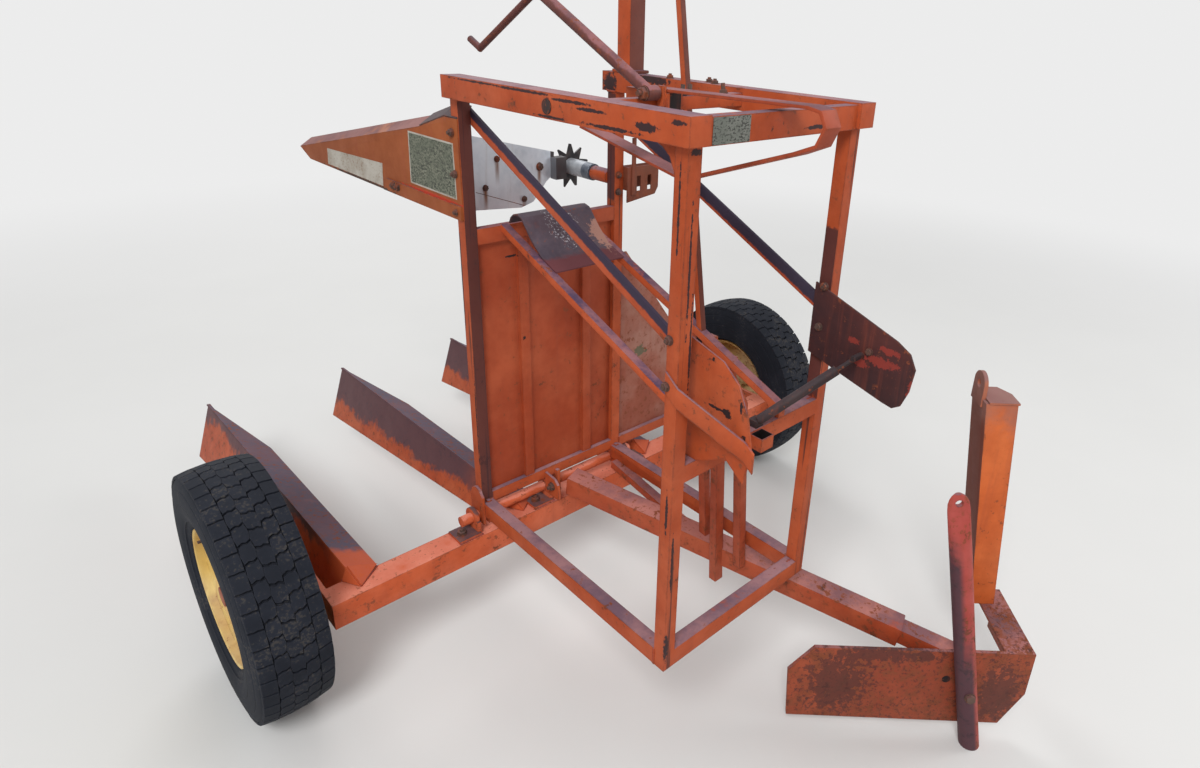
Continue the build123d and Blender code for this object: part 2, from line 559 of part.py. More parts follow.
strut_head = (MAST_X, MAST_Y - MAST / 2 - 54, LUG_Z)
with BuildPart() as mast_strut:
    add(bar(strut_foot, strut_head, MAST_STRUT, MAST_STRUT))
    add(chute_rails["far_chute_rail"], mode=Mode.SUBTRACT)
    add(box(MAST_X - 60, MAST_X + 60, MAST_Y - 120, MAST_Y, LUG_Z, LUG_Z + 28), mode=Mode.SUBTRACT)
mast_strut.part.label = "mast_strut"
export_step(mast_strut.part, "parts/mast_strut.step")

# Bent hold-down strap looped round the front top bar, on a block under the trip lever.
STRAP_X = -195.0
STRAP_W = 44.0
# Columns: y from the wheel centres, height from the top tubes' middle.
STRAP = [(-640, 26), (-1040, 32), (-1066, 27), (-1078, 5), (-1064, -25), (-1020, -43),
         (-760, -131), (-738, -135), (-410, -73), (-408, -79), (-737, -141), (-763, -138),
         (-1022, -50), (-1069, -30), (-1085, 5), (-1071, 33), (-1042, 38), (-640, 32)]
with BuildPart() as strap:
    add(yz_plate(STRAP_X, STRAP_X + STRAP_W, [(AXLE_Y + y, TOP_Z + z) for y, z in STRAP]))
strap.part.label = "hold_down_strap"
export_step(strap.part, "parts/hold_down_strap.step")

LEVER_Y = TOP_CROSS_Y - 25
LEVER_Z = TOP_Z + 25
LEVER_X = STRAP_X - 32
LEVER_R = 12.5
HOOK_R = 8.5
with BuildPart() as strap_block:
    add(box(STRAP_X + 5, STRAP_X + 60, TOP_CROSS_Y - 25, TOP_CROSS_Y + 90, TOP_Z - 21, TOP_Z + 26))
    add(box(STRAP_X - 2, STRAP_X + 5, LEVER_Y - 20, LEVER_Y + 52, TOP_Z - 15, TOP_Z + 25))
    add(top_cross, mode=Mode.SUBTRACT)
    add(rod((LEVER_X - 10, LEVER_Y, LEVER_Z), (STRAP_X - 2, LEVER_Y, LEVER_Z), 8))
    add(box(STRAP_X - 8, STRAP_X - 2, LEVER_Y - 16, LEVER_Y + 5, TOP_Z - 1, TOP_Z + 39))
strap_block.part.label = "strap_block"
export_step(strap_block.part, "parts/strap_block.step")

# Trip lever: a pipe that leans back to a bent rod ending in a hook; it rests on the top cross tube.
LEVER_A = Vector(LEVER_X, LEVER_Y, LEVER_Z)
LEVER_B = Vector(LEVER_X, AXLE_Y - 300, TOP_Z + 209)
LEVER_C = Vector(LEVER_X, AXLE_Y - 46, TOP_Z + 72)
LEVER_D = Vector(LEVER_X, AXLE_Y, TOP_Z + 92)
lever_up = (LEVER_B - LEVER_A).normalized()
hook_down = (LEVER_C - LEVER_B).normalized()
with BuildPart() as trip_lever:
    add(rod(LEVER_A, LEVER_B + lever_up * LEVER_R, LEVER_R))
    add(rod(LEVER_B, LEVER_C + hook_down * 4, HOOK_R))
    add(rod(LEVER_C, LEVER_D, HOOK_R))
    add(rod(LEVER_A - Vector(14, 0, 0), LEVER_A + Vector(17, 0, 0), 15))
    add(rod(LEVER_A - Vector(30, 0, 0), LEVER_A + Vector(30, 0, 0), 8.1), mode=Mode.SUBTRACT)
trip_lever.part.label = "trip_lever"
export_step(trip_lever.part, "parts/trip_lever.step")

# Drawbar with a smaller tube sliding in it.
bar_d = BAR_RUN
bore = BAR - 2 * BAR_WALL
with BuildPart() as drawbar:
    add(bar(BAR_REAR, BAR_FRONT, BAR, BAR))
    add(bar(BAR_FRONT - bar_d * 420, BAR_FRONT + bar_d * 5, bore, bore), mode=Mode.SUBTRACT)
drawbar.part.label = "drawbar"
export_step(drawbar.part, "parts/drawbar.step")

brace_a = Vector(FAR_X - 24, PIVOT_Y - 44, RAIL_LOW - 4)
brace_b = BAR_REAR + bar_d * 450
with BuildPart() as drawbar_brace:
    add(bar(brace_a, brace_b, 30, 24))
    add(bar(BAR_REAR, BAR_FRONT, BAR, BAR), mode=Mode.SUBTRACT)
    add(tower_frame.part, mode=Mode.SUBTRACT)
drawbar_brace.part.label = "drawbar_brace"
export_step(drawbar_brace.part, "parts/drawbar_brace.step")

# Hitch frame on the inner tube: two plates meeting at a corner, an upright channel,
# and a prop leg that swings on a bolt through the front plate.
HITCH_A = Vector(42.5, AXLE_Y - 1087.5, 0)
HITCH_B = Vector(437.5, AXLE_Y - 1472.5, 0)
PLATE_LOW = 38.0
PLATE_TOP = 275.0
PLATE_T = 10.0
hitch_d = (HITCH_B - HITCH_A).normalized()
up = Vector(0, 0, 1)
front_n = hitch_d.cross(up)
front_n = front_n if front_n.Y < 0 else front_n * -1
arm_d = front_n * -1
ARM_LEN = 238.0
HITCH_C = HITCH_B + arm_d * ARM_LEN

INNER = bore - 2.0
inner_start = BAR_FRONT - bar_d * 300
back = HITCH_A - front_n * PLATE_T
reach = (back - inner_start).dot(front_n) / bar_d.dot(front_n)
ahead_plane = Plane(origin=back - hitch_d * 300 + up * 600, x_dir=hitch_d, z_dir=hitch_d.cross(front_n))
ahead = Solid.make_box(900, 900, 900, ahead_plane)
with BuildPart() as inner_drawbar:
    add(bar(inner_start, inner_start + bar_d * (reach + 60), INNER, INNER))
    add(ahead, mode=Mode.SUBTRACT)
inner_drawbar.part.label = "inner_drawbar"
export_step(inner_drawbar.part, "parts/inner_drawbar.step")



def sheet(points, through):
    """Flat outline carried through the vector that gives its thickness."""
    return Solid.extrude(Face(Wire.make_polygon(points, close=True)), through)


# Columns: distance along the front plate from the hitch's near corner, height.
FACE = [(-76, PLATE_TOP - 78), (-66, PLATE_LOW + 4), (500, PLATE_LOW - 4), (552, 140),
        (552, PLATE_TOP), (-14, PLATE_TOP)]
face_plate = sheet([HITCH_A + hitch_d * u + up * z for u, z in FACE], front_n * -PLATE_T)
ARM_LOW = 140.0
ARM_WEB_T = 8.0
ARM_FLANGE_W = 76.0
top_b = HITCH_B + up * PLATE_TOP
top_c = HITCH_C + up * PLATE_TOP
arm_web = sheet([HITCH_B + up * ARM_LOW, HITCH_C + up * ARM_LOW, top_c, top_b], hitch_d * -ARM_WEB_T)
arm_flange = sheet([top_b, top_c, top_c - hitch_d * ARM_FLANGE_W, top_b - hitch_d * ARM_FLANGE_W],
                   up * -ARM_WEB_T)
with BuildPart() as hitch_frame:
    add(face_plate)
    add(arm_web)
    add(arm_flange)
hitch_frame.part.label = "hitch_frame"
export_step(hitch_frame.part, "parts/hitch_frame.step")

up_c = HITCH_C - hitch_d * 72 - arm_d * 60
LEAN = 0.118
FLANGE = 92.0
UPRIGHT_TOP = 894.0
LUG_HOLE_R = 10.0
LUG_T = 10.0
lug_hole = up_c - hitch_d * (35 + LEAN * 640) + arm_d * 56 + up * 924
UP_H = UPRIGHT_TOP - PLATE_TOP
up_base = up_c + up * PLATE_TOP


def leaning(u0, u1, v0, v1, z0, z1, lean, narrow=0.0):
    """Box in the upright's own axes whose top leans back along the front plate."""
    def at(u, v, z, squeeze):
        return up_base + hitch_d * (u * squeeze - lean * z) + arm_d * v + up * z
    lower = 1.0 - narrow
    low = [at(u0, v0, z0, lower), at(u1, v0, z0, lower), at(u1, v1, z0, lower), at(u0, v1, z0, lower)]
    high = [at(u0, v0, z1, 1), at(u1, v0, z1, 1), at(u1, v1, z1, 1), at(u0, v1, z1, 1)]
    rings = [Wire.make_polygon(low, close=True), Wire.make_polygon(high, close=True)]
    return Solid.make_loft(rings, ruled=True)


WEB_HALF = 40.0           # half the upright's width along the front plate
WEB_T = 8.0
FLANGE_T = 7.0
TAPER = 0.2
with BuildPart() as hitch_upright:
    add(leaning(-WEB_HALF, WEB_HALF, 0, WEB_T, 0, UP_H, LEAN, TAPER))
    add(leaning(-WEB_HALF, FLANGE_T - WEB_HALF, 0, FLANGE, 0, UP_H, LEAN, TAPER))
    add(leaning(WEB_HALF - FLANGE_T, WEB_HALF, 0, FLANGE * 0.5, 0, UP_H, LEAN, TAPER))
    lug_low = lug_hole - hitch_d * (LUG_T / 2) - arm_d * 32 - up * 52
    add(Solid.make_box(64, LUG_T, 52, Plane(origin=lug_low + hitch_d * LUG_T, x_dir=arm_d, z_dir=up)))
    add(rod(lug_hole - hitch_d * (LUG_T / 2), lug_hole + hitch_d * (LUG_T / 2), 32))
    add(rod(lug_hole - hitch_d * 15, lug_hole + hitch_d * 15, LUG_HOLE_R), mode=Mode.SUBTRACT)
hitch_upright.part.label = "hitch_upright"
export_step(hitch_upright.part, "parts/hitch_upright.step")

LEG_R = 26.0
leg_foot = HITCH_A + hitch_d * 418 + front_n * (LEG_R + 7)
leg_head = leg_foot - hitch_d * 172 + up * 775
leg_run = (leg_head - leg_foot).normalized()
leg_bolt = leg_foot + leg_run * 190
LEG_EYE_R = 9.0
leg_eye = leg_head - leg_run * 24
with BuildPart() as prop_leg:
    add(rod(leg_foot, leg_head - leg_run * 60, LEG_R))
    add(bar(leg_head - leg_run * 90, leg_head, 12, 50, front_n))
    add(rod(leg_eye - front_n * 20, leg_eye + front_n * 20, LEG_EYE_R), mode=Mode.SUBTRACT)
    add(rod(leg_bolt + front_n * 34, leg_bolt - front_n * (LEG_R + 6), 9))
    add(box(-900, 900, -1800, 300, -80, 0), mode=Mode.SUBTRACT)
prop_leg.part.label = "prop_leg"
export_step(prop_leg.part, "parts/prop_leg.step")
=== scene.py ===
import json
import math
import bmesh
import bpy
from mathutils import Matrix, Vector, noise


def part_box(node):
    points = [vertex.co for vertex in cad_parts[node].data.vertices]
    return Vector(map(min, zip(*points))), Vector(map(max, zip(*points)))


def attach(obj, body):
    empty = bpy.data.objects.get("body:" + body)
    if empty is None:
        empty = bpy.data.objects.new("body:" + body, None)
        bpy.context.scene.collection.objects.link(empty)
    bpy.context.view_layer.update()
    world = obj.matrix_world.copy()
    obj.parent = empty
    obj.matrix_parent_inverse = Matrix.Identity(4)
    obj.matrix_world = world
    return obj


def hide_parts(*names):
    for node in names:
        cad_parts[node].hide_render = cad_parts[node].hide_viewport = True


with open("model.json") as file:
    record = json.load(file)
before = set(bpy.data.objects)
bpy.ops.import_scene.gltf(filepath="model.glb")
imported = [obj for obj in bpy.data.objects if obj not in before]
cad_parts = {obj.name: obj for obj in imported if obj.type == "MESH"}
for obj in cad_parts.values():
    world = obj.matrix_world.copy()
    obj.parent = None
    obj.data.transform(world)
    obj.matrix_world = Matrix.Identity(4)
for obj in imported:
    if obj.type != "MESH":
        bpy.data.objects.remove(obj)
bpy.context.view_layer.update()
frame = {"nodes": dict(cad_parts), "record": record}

# Axle beam
# A square steel beam lies across the machine under the tower. It is painted orange, and plates welded
# to its ends carry the wheel spindles behind it. The paint is faded, chipped and rusty along the edges.
MM = 0.001
UP = Vector((0, 0, 1))
ORANGE = (0.40, 0.066, 0.016)
FADED_ORANGE = (0.47, 0.110, 0.042)
# The two colours below are for faces that look up: sun-burnt and bloomed paint with a painted sky reflection mixed
# in.
SUN_BURNT_AND_SKY_SHEEN = (0.120, 0.062, 0.090)
BLOOM_AND_SKY_SHEEN = (0.30, 0.125, 0.130)
BARE_STEEL = (0.035, 0.020, 0.020)
RUST = (0.20, 0.052, 0.022)


def wire(tree, kind, inputs=None, **settings):
    """Adds a shader node, with its settings and with its inputs linked or set."""
    node = tree.nodes.new("ShaderNode" + kind)
    for name, value in settings.items():
        setattr(node, name, value)
    for key, value in (inputs or {}).items():
        if isinstance(value, bpy.types.NodeSocket):
            tree.links.new(value, node.inputs[key])
        else:
            node.inputs[key].default_value = value
    return node


def calc(tree, operation, a, b=0.0):
    """The output of a Math node."""
    return wire(tree, "Math", {0: a, 1: b}, operation=operation).outputs[0]


def times(tree, a, b):
    """One value times another."""
    return calc(tree, "MULTIPLY", a, b)


def plus(tree, a, b):
    """The sum of two values."""
    return calc(tree, "ADD", a, b)


def minus(tree, a, b):
    """One value less another."""
    return calc(tree, "SUBTRACT", a, b)


def place_on(tree):
    """Where a point lies on the machine; it stays with its piece as that moves."""
    return wire(tree, "TexCoord").outputs["Object"]


def axes_of(tree, vector):
    """The three parts of a vector."""
    return wire(tree, "SeparateXYZ", {0: vector}).outputs


def mask(tree, value, low, high):
    """0 below low, 1 above high, and smooth between them."""
    node = wire(tree, "MapRange", {"Value": value, "From Min": low, "From Max": high},
                interpolation_type="SMOOTHSTEP")
    return node.outputs[0]


def tint(tree, factor, under, over, blend_type="MIX"):
    """One colour laid over another by a factor."""
    node = wire(tree, "Mix", {0: factor, 6: under, 7: over}, data_type="RGBA", blend_type=blend_type)
    return node.outputs[2]


def grain(tree, coords, scale, detail=6.0, roughness=0.6):
    """Noise over the surface, from 0 to 1."""
    node = wire(tree, "TexNoise", {"Vector": coords, "Scale": scale, "Detail": detail, "Roughness": roughness})
    return node.outputs[0]


def shader_group(name, inputs, outputs):
    """An empty node group with these sockets, and its input and output sockets."""
    group = bpy.data.node_groups.new(name, "ShaderNodeTree")
    for kind, label, value in inputs:
        socket = group.interface.new_socket(label, in_out="INPUT", socket_type="NodeSocket" + kind)
        socket.default_value = value
    for kind, label in outputs:
        group.interface.new_socket(label, in_out="OUTPUT", socket_type="NodeSocket" + kind)
    into = group.nodes.new("NodeGroupInput")
    out = group.nodes.new("NodeGroupOutput")
    return group, into.outputs, out.inputs


def make_aged_paint_group():
    """Old paint: it fades in patches, burns dark where the sun falls on it, and chips down to rust. On faces that
    look up, a painted sky reflection is mixed into the burnt colour.
    """
    group, given, out = shader_group("aged_paint",
                                     [("Color", "Paint", (*ORANGE, 1)), ("Color", "Faded", (*FADED_ORANGE, 1)),
                                      ("Color", "Burnt_and_sky_sheen", (*SUN_BURNT_AND_SKY_SHEEN, 1)), ("Color", "Bloom_and_sky_sheen", (*BLOOM_AND_SKY_SHEEN, 1)),
                                      ("Float", "Fading", 0.5), ("Float", "Top", 1.0), ("Float", "Ragged", 1.0),
                                      ("Float", "Chips", 0.5), ("Float", "Edges", 0.6),
                                      ("Float", "Speckle", 0.2), ("Vector", "Place", (0, 0, 0))],
                                     [("Color", "Color"), ("Float", "Roughness"), ("Float", "Height")])
    where = wire(group, "TexCoord")
    place = wire(group, "VectorMath", {0: where.outputs["Object"], 1: given["Place"]},
                 operation="ADD").outputs[0]
    normal_z = axes_of(group, where.outputs["Normal"])[2]
    patches = grain(group, place, 4.5, 4.0)
    grime = grain(group, place, 17.0, 8.0, 0.65)
    flecks = grain(group, place, 62.0, 9.0, 0.68)
    grit = grain(group, place, 260.0, 4.0, 0.6)
    run_scale = wire(group, "Mapping", {"Vector": place, "Scale": (46, 46, 2.4)}).outputs[0]
    runs = grain(group, run_scale, 1.0, 5.0)

    # the paint itself
    fade = times(group, mask(group, patches, 0.38, 0.68), given["Fading"])
    color = tint(group, fade, given["Paint"], given["Faded"])
    run_shade = mask(group, runs, 0.50, 0.78)
    color = tint(group, times(group, run_shade, 0.35), color, (0.30, 0.062, 0.030, 1))
    shade = mask(group, grime, 0.30, 0.72)
    color = tint(group, times(group, shade, 0.45), color, (0.62, 0.50, 0.48, 1), "MULTIPLY")

    # what the sun has burnt on faces that look up, with a painted sky reflection mixed into its colour
    wobble = times(group, minus(group, grime, 0.5), 1.6)
    wobble = plus(group, wobble, times(group, minus(group, patches, 0.5), 1.1))
    wobble = times(group, wobble, given["Ragged"])
    upward_burn_and_sky_sheen = mask(group, plus(group, normal_z, wobble), 0.45, 0.80)
    upward_burn_and_sky_sheen = times(group, upward_burn_and_sky_sheen, given["Top"])
    bloom_and_sky_sheen = mask(group, plus(group, patches, times(group, flecks, 0.35)), 0.52, 0.82)
    burnt_and_sky_sheen = tint(group, bloom_and_sky_sheen, given["Burnt_and_sky_sheen"], given["Bloom_and_sky_sheen"])
    color = tint(group, upward_burn_and_sky_sheen, color, burnt_and_sky_sheen)

    # rust speckle, then chips and worn edges down to dark steel
    speckle_low = minus(group, 0.66, times(group, given["Speckle"], 0.20))
    speckle = mask(group, minus(group, flecks, speckle_low), 0.0, 0.05)
    speckle = times(group, speckle, mask(group, grime, 0.40, 0.56))
    color = tint(group, times(group, speckle, 0.85), color, (*RUST, 1))
    chip_low = minus(group, 0.735, times(group, given["Chips"], 0.11))
    ragged = plus(group, times(group, grime, 0.72), times(group, flecks, 0.34))
    chips = mask(group, minus(group, ragged, chip_low), -0.035, 0.0)
    round_edge = wire(group, "Bevel", {"Radius": 0.005}, samples=4).outputs[0]
    flat = wire(group, "NewGeometry").outputs["True Normal"]
    turn = wire(group, "VectorMath", {0: round_edge, 1: flat}, operation="DOT_PRODUCT").outputs["Value"]
    edge = times(group, mask(group, minus(group, 1.0, turn), 0.03, 0.22), given["Edges"])
    edge = times(group, edge, mask(group, grime, 0.38, 0.54))
    worn = calc(group, "MAXIMUM", chips, edge)
    color = tint(group, worn, color, tint(group, mask(group, flecks, 0.4, 0.6), (*BARE_STEEL, 1), (*RUST, 1)))
    group.links.new(color, out["Color"])
    rough = plus(group, 0.46, times(group, grime, 0.28))
    rough = plus(group, rough, times(group, calc(group, "MAXIMUM", worn, upward_burn_and_sky_sheen), 0.16))
    group.links.new(rough, out["Roughness"])
    depth = minus(group, times(group, grit, 0.14), times(group, worn, 0.5))
    depth = plus(group, depth, times(group, flecks, 0.22))
    group.links.new(depth, out["Height"])
    return group


aged_paint = make_aged_paint_group()


def new_material(name):
    """An empty material with its Principled shader and its tree."""
    material = bpy.data.materials.new(name)
    material.use_nodes = True
    return material, material.node_tree, material.node_tree.nodes["Principled BSDF"]


def connect(tree, shader, color, roughness, height, distance=0.0006, strength=0.5):
    """Leads a colour, a roughness and a relief into the shader."""
    tree.links.new(color, shader.inputs["Base Color"])
    tree.links.new(roughness, shader.inputs["Roughness"])
    relief = wire(tree, "Bump", {"Height": height, "Distance": distance, "Strength": strength})
    tree.links.new(relief.outputs[0], shader.inputs["Normal"])


def painted(name, paint=ORANGE, faded=FADED_ORANGE, burnt_and_sky_sheen=SUN_BURNT_AND_SKY_SHEEN, bloom_and_sky_sheen=BLOOM_AND_SKY_SHEEN, **amounts):
    """A paint material with its own colours and amounts of wear."""
    material, tree, shader = new_material(name)
    shader.inputs["Specular IOR Level"].default_value = 0.25
    inputs = {"Paint": (*paint, 1), "Faded": (*faded, 1), "Burnt_and_sky_sheen": (*burnt_and_sky_sheen, 1), "Bloom_and_sky_sheen": (*bloom_and_sky_sheen, 1)}
    inputs.update({label.capitalize(): value for label, value in amounts.items()})
    look = wire(tree, "Group", node_tree=aged_paint)
    for label, value in inputs.items():
        look.inputs[label].default_value = value
    connect(tree, shader, look.outputs["Color"], look.outputs["Roughness"], look.outputs["Height"])
    return material


def new_piece(name, mesh, material, body):
    """Puts a finished mesh in the scene on its body."""
    piece = bpy.data.objects.new(name, mesh)
    bpy.context.scene.collection.objects.link(piece)
    mesh.materials.clear()
    mesh.materials.append(material)
    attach(piece, body)
    return piece


def smooth(mesh, angle=34):
    """Smooth shading that keeps corners sharper than this."""
    mesh.shade_smooth()
    mesh.set_sharp_from_angle(angle=math.radians(angle))


def body_of(node):
    """The body that carries a node."""
    return next(name for name, nodes in frame["record"]["behaviour"]["bodies"].items() if node in nodes)


def dress(node, material, round_off):
    """A copy of the node's mesh with rounded edges, in its own finish, stands for the node."""
    bm = bmesh.new()
    bm.from_mesh(frame["nodes"][node].data)
    bmesh.ops.remove_doubles(bm, verts=bm.verts, dist=0.02 * MM)
    bmesh.ops.dissolve_limit(bm, angle_limit=math.radians(0.6), verts=bm.verts, edges=bm.edges)
    sharp = [e for e in bm.edges if len(e.link_faces) == 2 and e.calc_face_angle(0) > math.radians(28)]
    bmesh.ops.bevel(bm, geom=sharp, offset=round_off * MM, segments=2, profile=0.6, affect="EDGES",
                    clamp_overlap=True)
    mesh = bpy.data.meshes.new(node + "_mesh")
    bm.to_mesh(mesh)
    bm.free()
    for name in ("custom_normal", "sharp_face", "sharp_edge"):
        if name in mesh.attributes:
            mesh.attributes.remove(mesh.attributes[name])
    smooth(mesh)
    piece = new_piece(node + "_finished", mesh, material, body_of(node))
    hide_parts(node)
    return piece


def ring_points(centre, axis, radius, count, start=0.0):
    """Points on a circle about an axis."""
    axis = Vector(axis).normalized()
    side = axis.orthogonal().normalized()
    other = axis.cross(side)
    turns = [start + 2 * math.pi * i / count for i in range(count)]
    return [Vector(centre) + (side * math.cos(a) + other * math.sin(a)) * radius for a in turns]


def skin(bm, rings):
    """Faces between rings of points that have the same count, and a face on each end."""
    made = [[bm.verts.new(p) for p in ring] for ring in rings]
    for low, high in zip(made, made[1:]):
        for i in range(len(low)):
            j = (i + 1) % len(low)
            bm.faces.new((low[i], low[j], high[j], high[i]))
    bm.faces.new(reversed(made[0]))
    bm.faces.new(made[-1])


def sweep(bm, points, radius, sides, lumpy=0.0):
    """A tube along points; lumpy makes the ripples of a weld bead."""
    points = [Vector(p) for p in points]
    rings = []
    side = None
    for i, p in enumerate(points):
        before = points[i - 1] if i else p
        after = points[i + 1] if i + 1 < len(points) else p
        run = (after - before).normalized()
        side = (side - run * side.dot(run)).normalized() if side else run.orthogonal().normalized()
        other = run.cross(side)
        r = radius * (1 + lumpy * (math.sin(i * 2.1) + noise.noise(p * 180)))
        turns = [2 * math.pi * k / sides for k in range(sides)]
        rings.append([p + (side * math.cos(a) + other * math.sin(a)) * r for a in turns])
    skin(bm, rings)


def divided(points, step):
    """The same broken line with points every step or so."""
    result = []
    for a, b in zip(points, points[1:]):
        a = Vector(a)
        b = Vector(b)
        count = max(1, round((b - a).length / step))
        result += [a + (b - a) * (i / count) for i in range(count)]
    return result + [Vector(points[-1])]


def add_weld(bm, points, radius=3.2):
    """A weld bead along a broken line."""
    sweep(bm, divided(points, 3.0 * MM), radius * MM, 6, lumpy=0.22)


def add_bolt(bm, centre, axis, size, stub=0.0):
    """A hex head on a washer; size is the thread's diameter, and a stub of thread may stand above it."""
    axis = Vector(axis).normalized()
    at = Vector(centre)
    washer = 1.8 * MM
    skin(bm, [ring_points(at + axis * h, axis, size * 1.1 * MM, 18) for h in (0, washer)])
    at = at + axis * washer
    tall = size * 0.65
    flat = size * 0.98
    skin(bm,
         [ring_points(at, axis, flat * MM, 6), ring_points(at + axis * tall * 0.84 * MM, axis, flat * MM, 6),
          ring_points(at + axis * tall * MM, axis, flat * 0.84 * MM, 6)])
    if stub:
        skin(bm,
             [ring_points(at + axis * tall * 0.9 * MM, axis, size * 0.5 * MM, 12),
              ring_points(at + axis * (tall + stub) * MM, axis, size * 0.46 * MM, 12)])


def from_bmesh(name, bm, angle=34):
    """A mesh with outward faces and smooth shading."""
    bmesh.ops.recalc_face_normals(bm, faces=bm.faces)
    mesh = bpy.data.meshes.new(name + "_mesh")
    bm.to_mesh(mesh)
    bm.free()
    smooth(mesh, angle)
    return mesh


def add_piece(name, bm, material, body, angle=34):
    """Puts gathered faces in the scene as one piece; corners sharper than the angle stay sharp."""
    return new_piece(name, from_bmesh(name, bm, angle), material, body)


# painted sunlight: this paint is a brighter orange than the frame's and its tops are pinker; its fading and wear are
# its own
sunlit_beam_paint = painted("sunlit_beam_paint", (0.52, 0.092, 0.027), (0.61, 0.150, 0.070), (0.56, 0.160, 0.100),
                     (0.70, 0.25, 0.17), fading=0.9, top=0.85, chips=0.45, edges=0.9, speckle=0.5)
weld_paint = painted("weld_paint", (0.30, 0.050, 0.02), ORANGE, SUN_BURNT_AND_SKY_SHEEN, fading=0.5, top=0.6, chips=0.9,
                     edges=0.0, speckle=0.9)
bolt_steel = painted("bolt_steel", (0.060, 0.040, 0.035), (0.13, 0.075, 0.055), (0.10, 0.06, 0.05), fading=0.9,
                     top=0.3, chips=0.3, edges=0.5, speckle=0.8)
dress("axle_beam", sunlit_beam_paint, 4.0)
beam_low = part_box("axle_beam")[0]
BEAM_SIDE = 73 * MM
EAR_WELD = 32 * MM         # from the beam's middle line to each bead
ARM_WELD_X = 824 * MM
beam_top = 371.5 * MM
beam_mid_y = beam_low.y + BEAM_SIDE / 2
ear_paint = painted("ear_paint", (0.50, 0.090, 0.028), (0.58, 0.140, 0.065), (0.070, 0.042, 0.052),
                    (0.150, 0.070, 0.066), fading=0.7, top=0.95, chips=0.5, edges=0.9, speckle=0.5)
for side in ("near", "middle", "far"):
    dress(side + "_pivot_ear", ear_paint, 1.5)
bm = bmesh.new()
for side in ("near", "middle", "far"):
    low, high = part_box(side + "_pivot_ear")
    for y in (beam_mid_y - EAR_WELD, beam_mid_y + EAR_WELD):
        add_weld(bm, [(low.x, y, beam_top + 0.001), (high.x, y, beam_top + 0.001)])
for sign in (-1, 1):
    x = sign * ARM_WELD_X
    add_weld(bm, [(x, beam_mid_y + BEAM_SIDE / 2, 0.30), (x, beam_mid_y + BEAM_SIDE / 2, 0.37)])
add_piece("axle_welds", bm, weld_paint, "axle", 60)
bm = bmesh.new()
for side, away in (("near", -1), ("middle", -1), ("far", 1)):
    low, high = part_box(side + "_pivot_ear")
    foot_x = (low.x + 34 * MM) if away < 0 else (high.x - 34 * MM)
    add_bolt(bm, (foot_x + away * 10 * MM, beam_mid_y, beam_top + 8 * MM), UP, 13, stub=5)
add_piece("ear_bolts", bm, bolt_steel, "axle", 25)

# Prongs
# Four long steel prongs are welded to the back of the beam and lie low behind the machine. Each is a plate
# bent to a ridge, burnt purple-brown on top by the sun, with a painted sky reflection mixed into that colour,
# and worn red-orange on its steep side.


def places_in(material):
    """A material's tree, the place that is shaded, and its three coordinates."""
    tree = material.node_tree
    place = place_on(tree)
    return tree, place, axes_of(tree, place)


def lay_over(material, color, factor):
    """Lays a colour over a paint where the factor, made in that material's own tree, says."""
    tree = material.node_tree
    base = tree.nodes["Principled BSDF"].inputs["Base Color"]
    tree.links.new(tint(tree, factor, base.links[0].from_socket, (*color, 1)), base)


def facing_to(tree, direction, low=0.4, high=0.7):
    """A mask of the faces that look in a direction."""
    normal = wire(tree, "TexCoord").outputs["Normal"]
    way = tuple(Vector(direction).normalized())
    dot = wire(tree, "VectorMath", {0: normal, 1: way}, operation="DOT_PRODUCT").outputs["Value"]
    return mask(tree, dot, low, high)


prong_paint, dark_prong_paint = [painted(name, (0.44, 0.074, 0.022), (0.52, 0.125, 0.045),
                                         (0.085, 0.072, 0.105), (0.130, 0.070, 0.090), fading=0.8, top=1.0,
                                         ragged=0.45, chips=0.6, edges=0.8, speckle=0.6)
                                 for name in ("prong_paint", "dark_prong_paint")]
RIDGE_ROOT = (31.25 * MM, 408.0 * MM)      # y and z where the ridge leaves the beam
RIDGE_TIP = (1257.75 * MM, 366.0 * MM)
for material, share in ((prong_paint, 0.26), (dark_prong_paint, 0.66)):
    tree, place, axes = places_in(material)
    along = calc(tree, "DIVIDE", minus(tree, axes[1], RIDGE_ROOT[0]), RIDGE_TIP[0] - RIDGE_ROOT[0])
    ridge_z = plus(tree, times(tree, along, RIDGE_TIP[1] - RIDGE_ROOT[1]), RIDGE_ROOT[1])
    deep = plus(tree, times(tree, along, 0.095), 0.10)
    fall = calc(tree, "DIVIDE", minus(tree, ridge_z, axes[2]), deep)
    cloud = plus(tree, grain(tree, place, 4.0, 3.0), times(tree, grain(tree, place, 45.0, 8.0), 0.5))
    fall = plus(tree, fall, times(tree, minus(tree, cloud, 0.75), 1.1))
    dark = minus(tree, 1.0, mask(tree, fall, share - 0.10, share + 0.10))
    dark = times(tree, dark, facing_to(tree, (-1, 0, -0.3), 0.2, 0.5))
    dark = times(tree, dark, mask(tree, along, 0.04, 0.22))
    lay_over(material, (0.070, 0.040, 0.052), times(tree, dark, 0.9))
    if material is prong_paint:      # the nearest prong is still orange at its front end
        front = plus(tree, along, times(tree, minus(tree, cloud, 0.75), 0.12))
        front = minus(tree, 1.0, mask(tree, front, 0.035, 0.080))
        lay_over(material, (0.50, 0.092, 0.030), times(tree, front, 0.85))
bm = bmesh.new()
toes = bmesh.new()
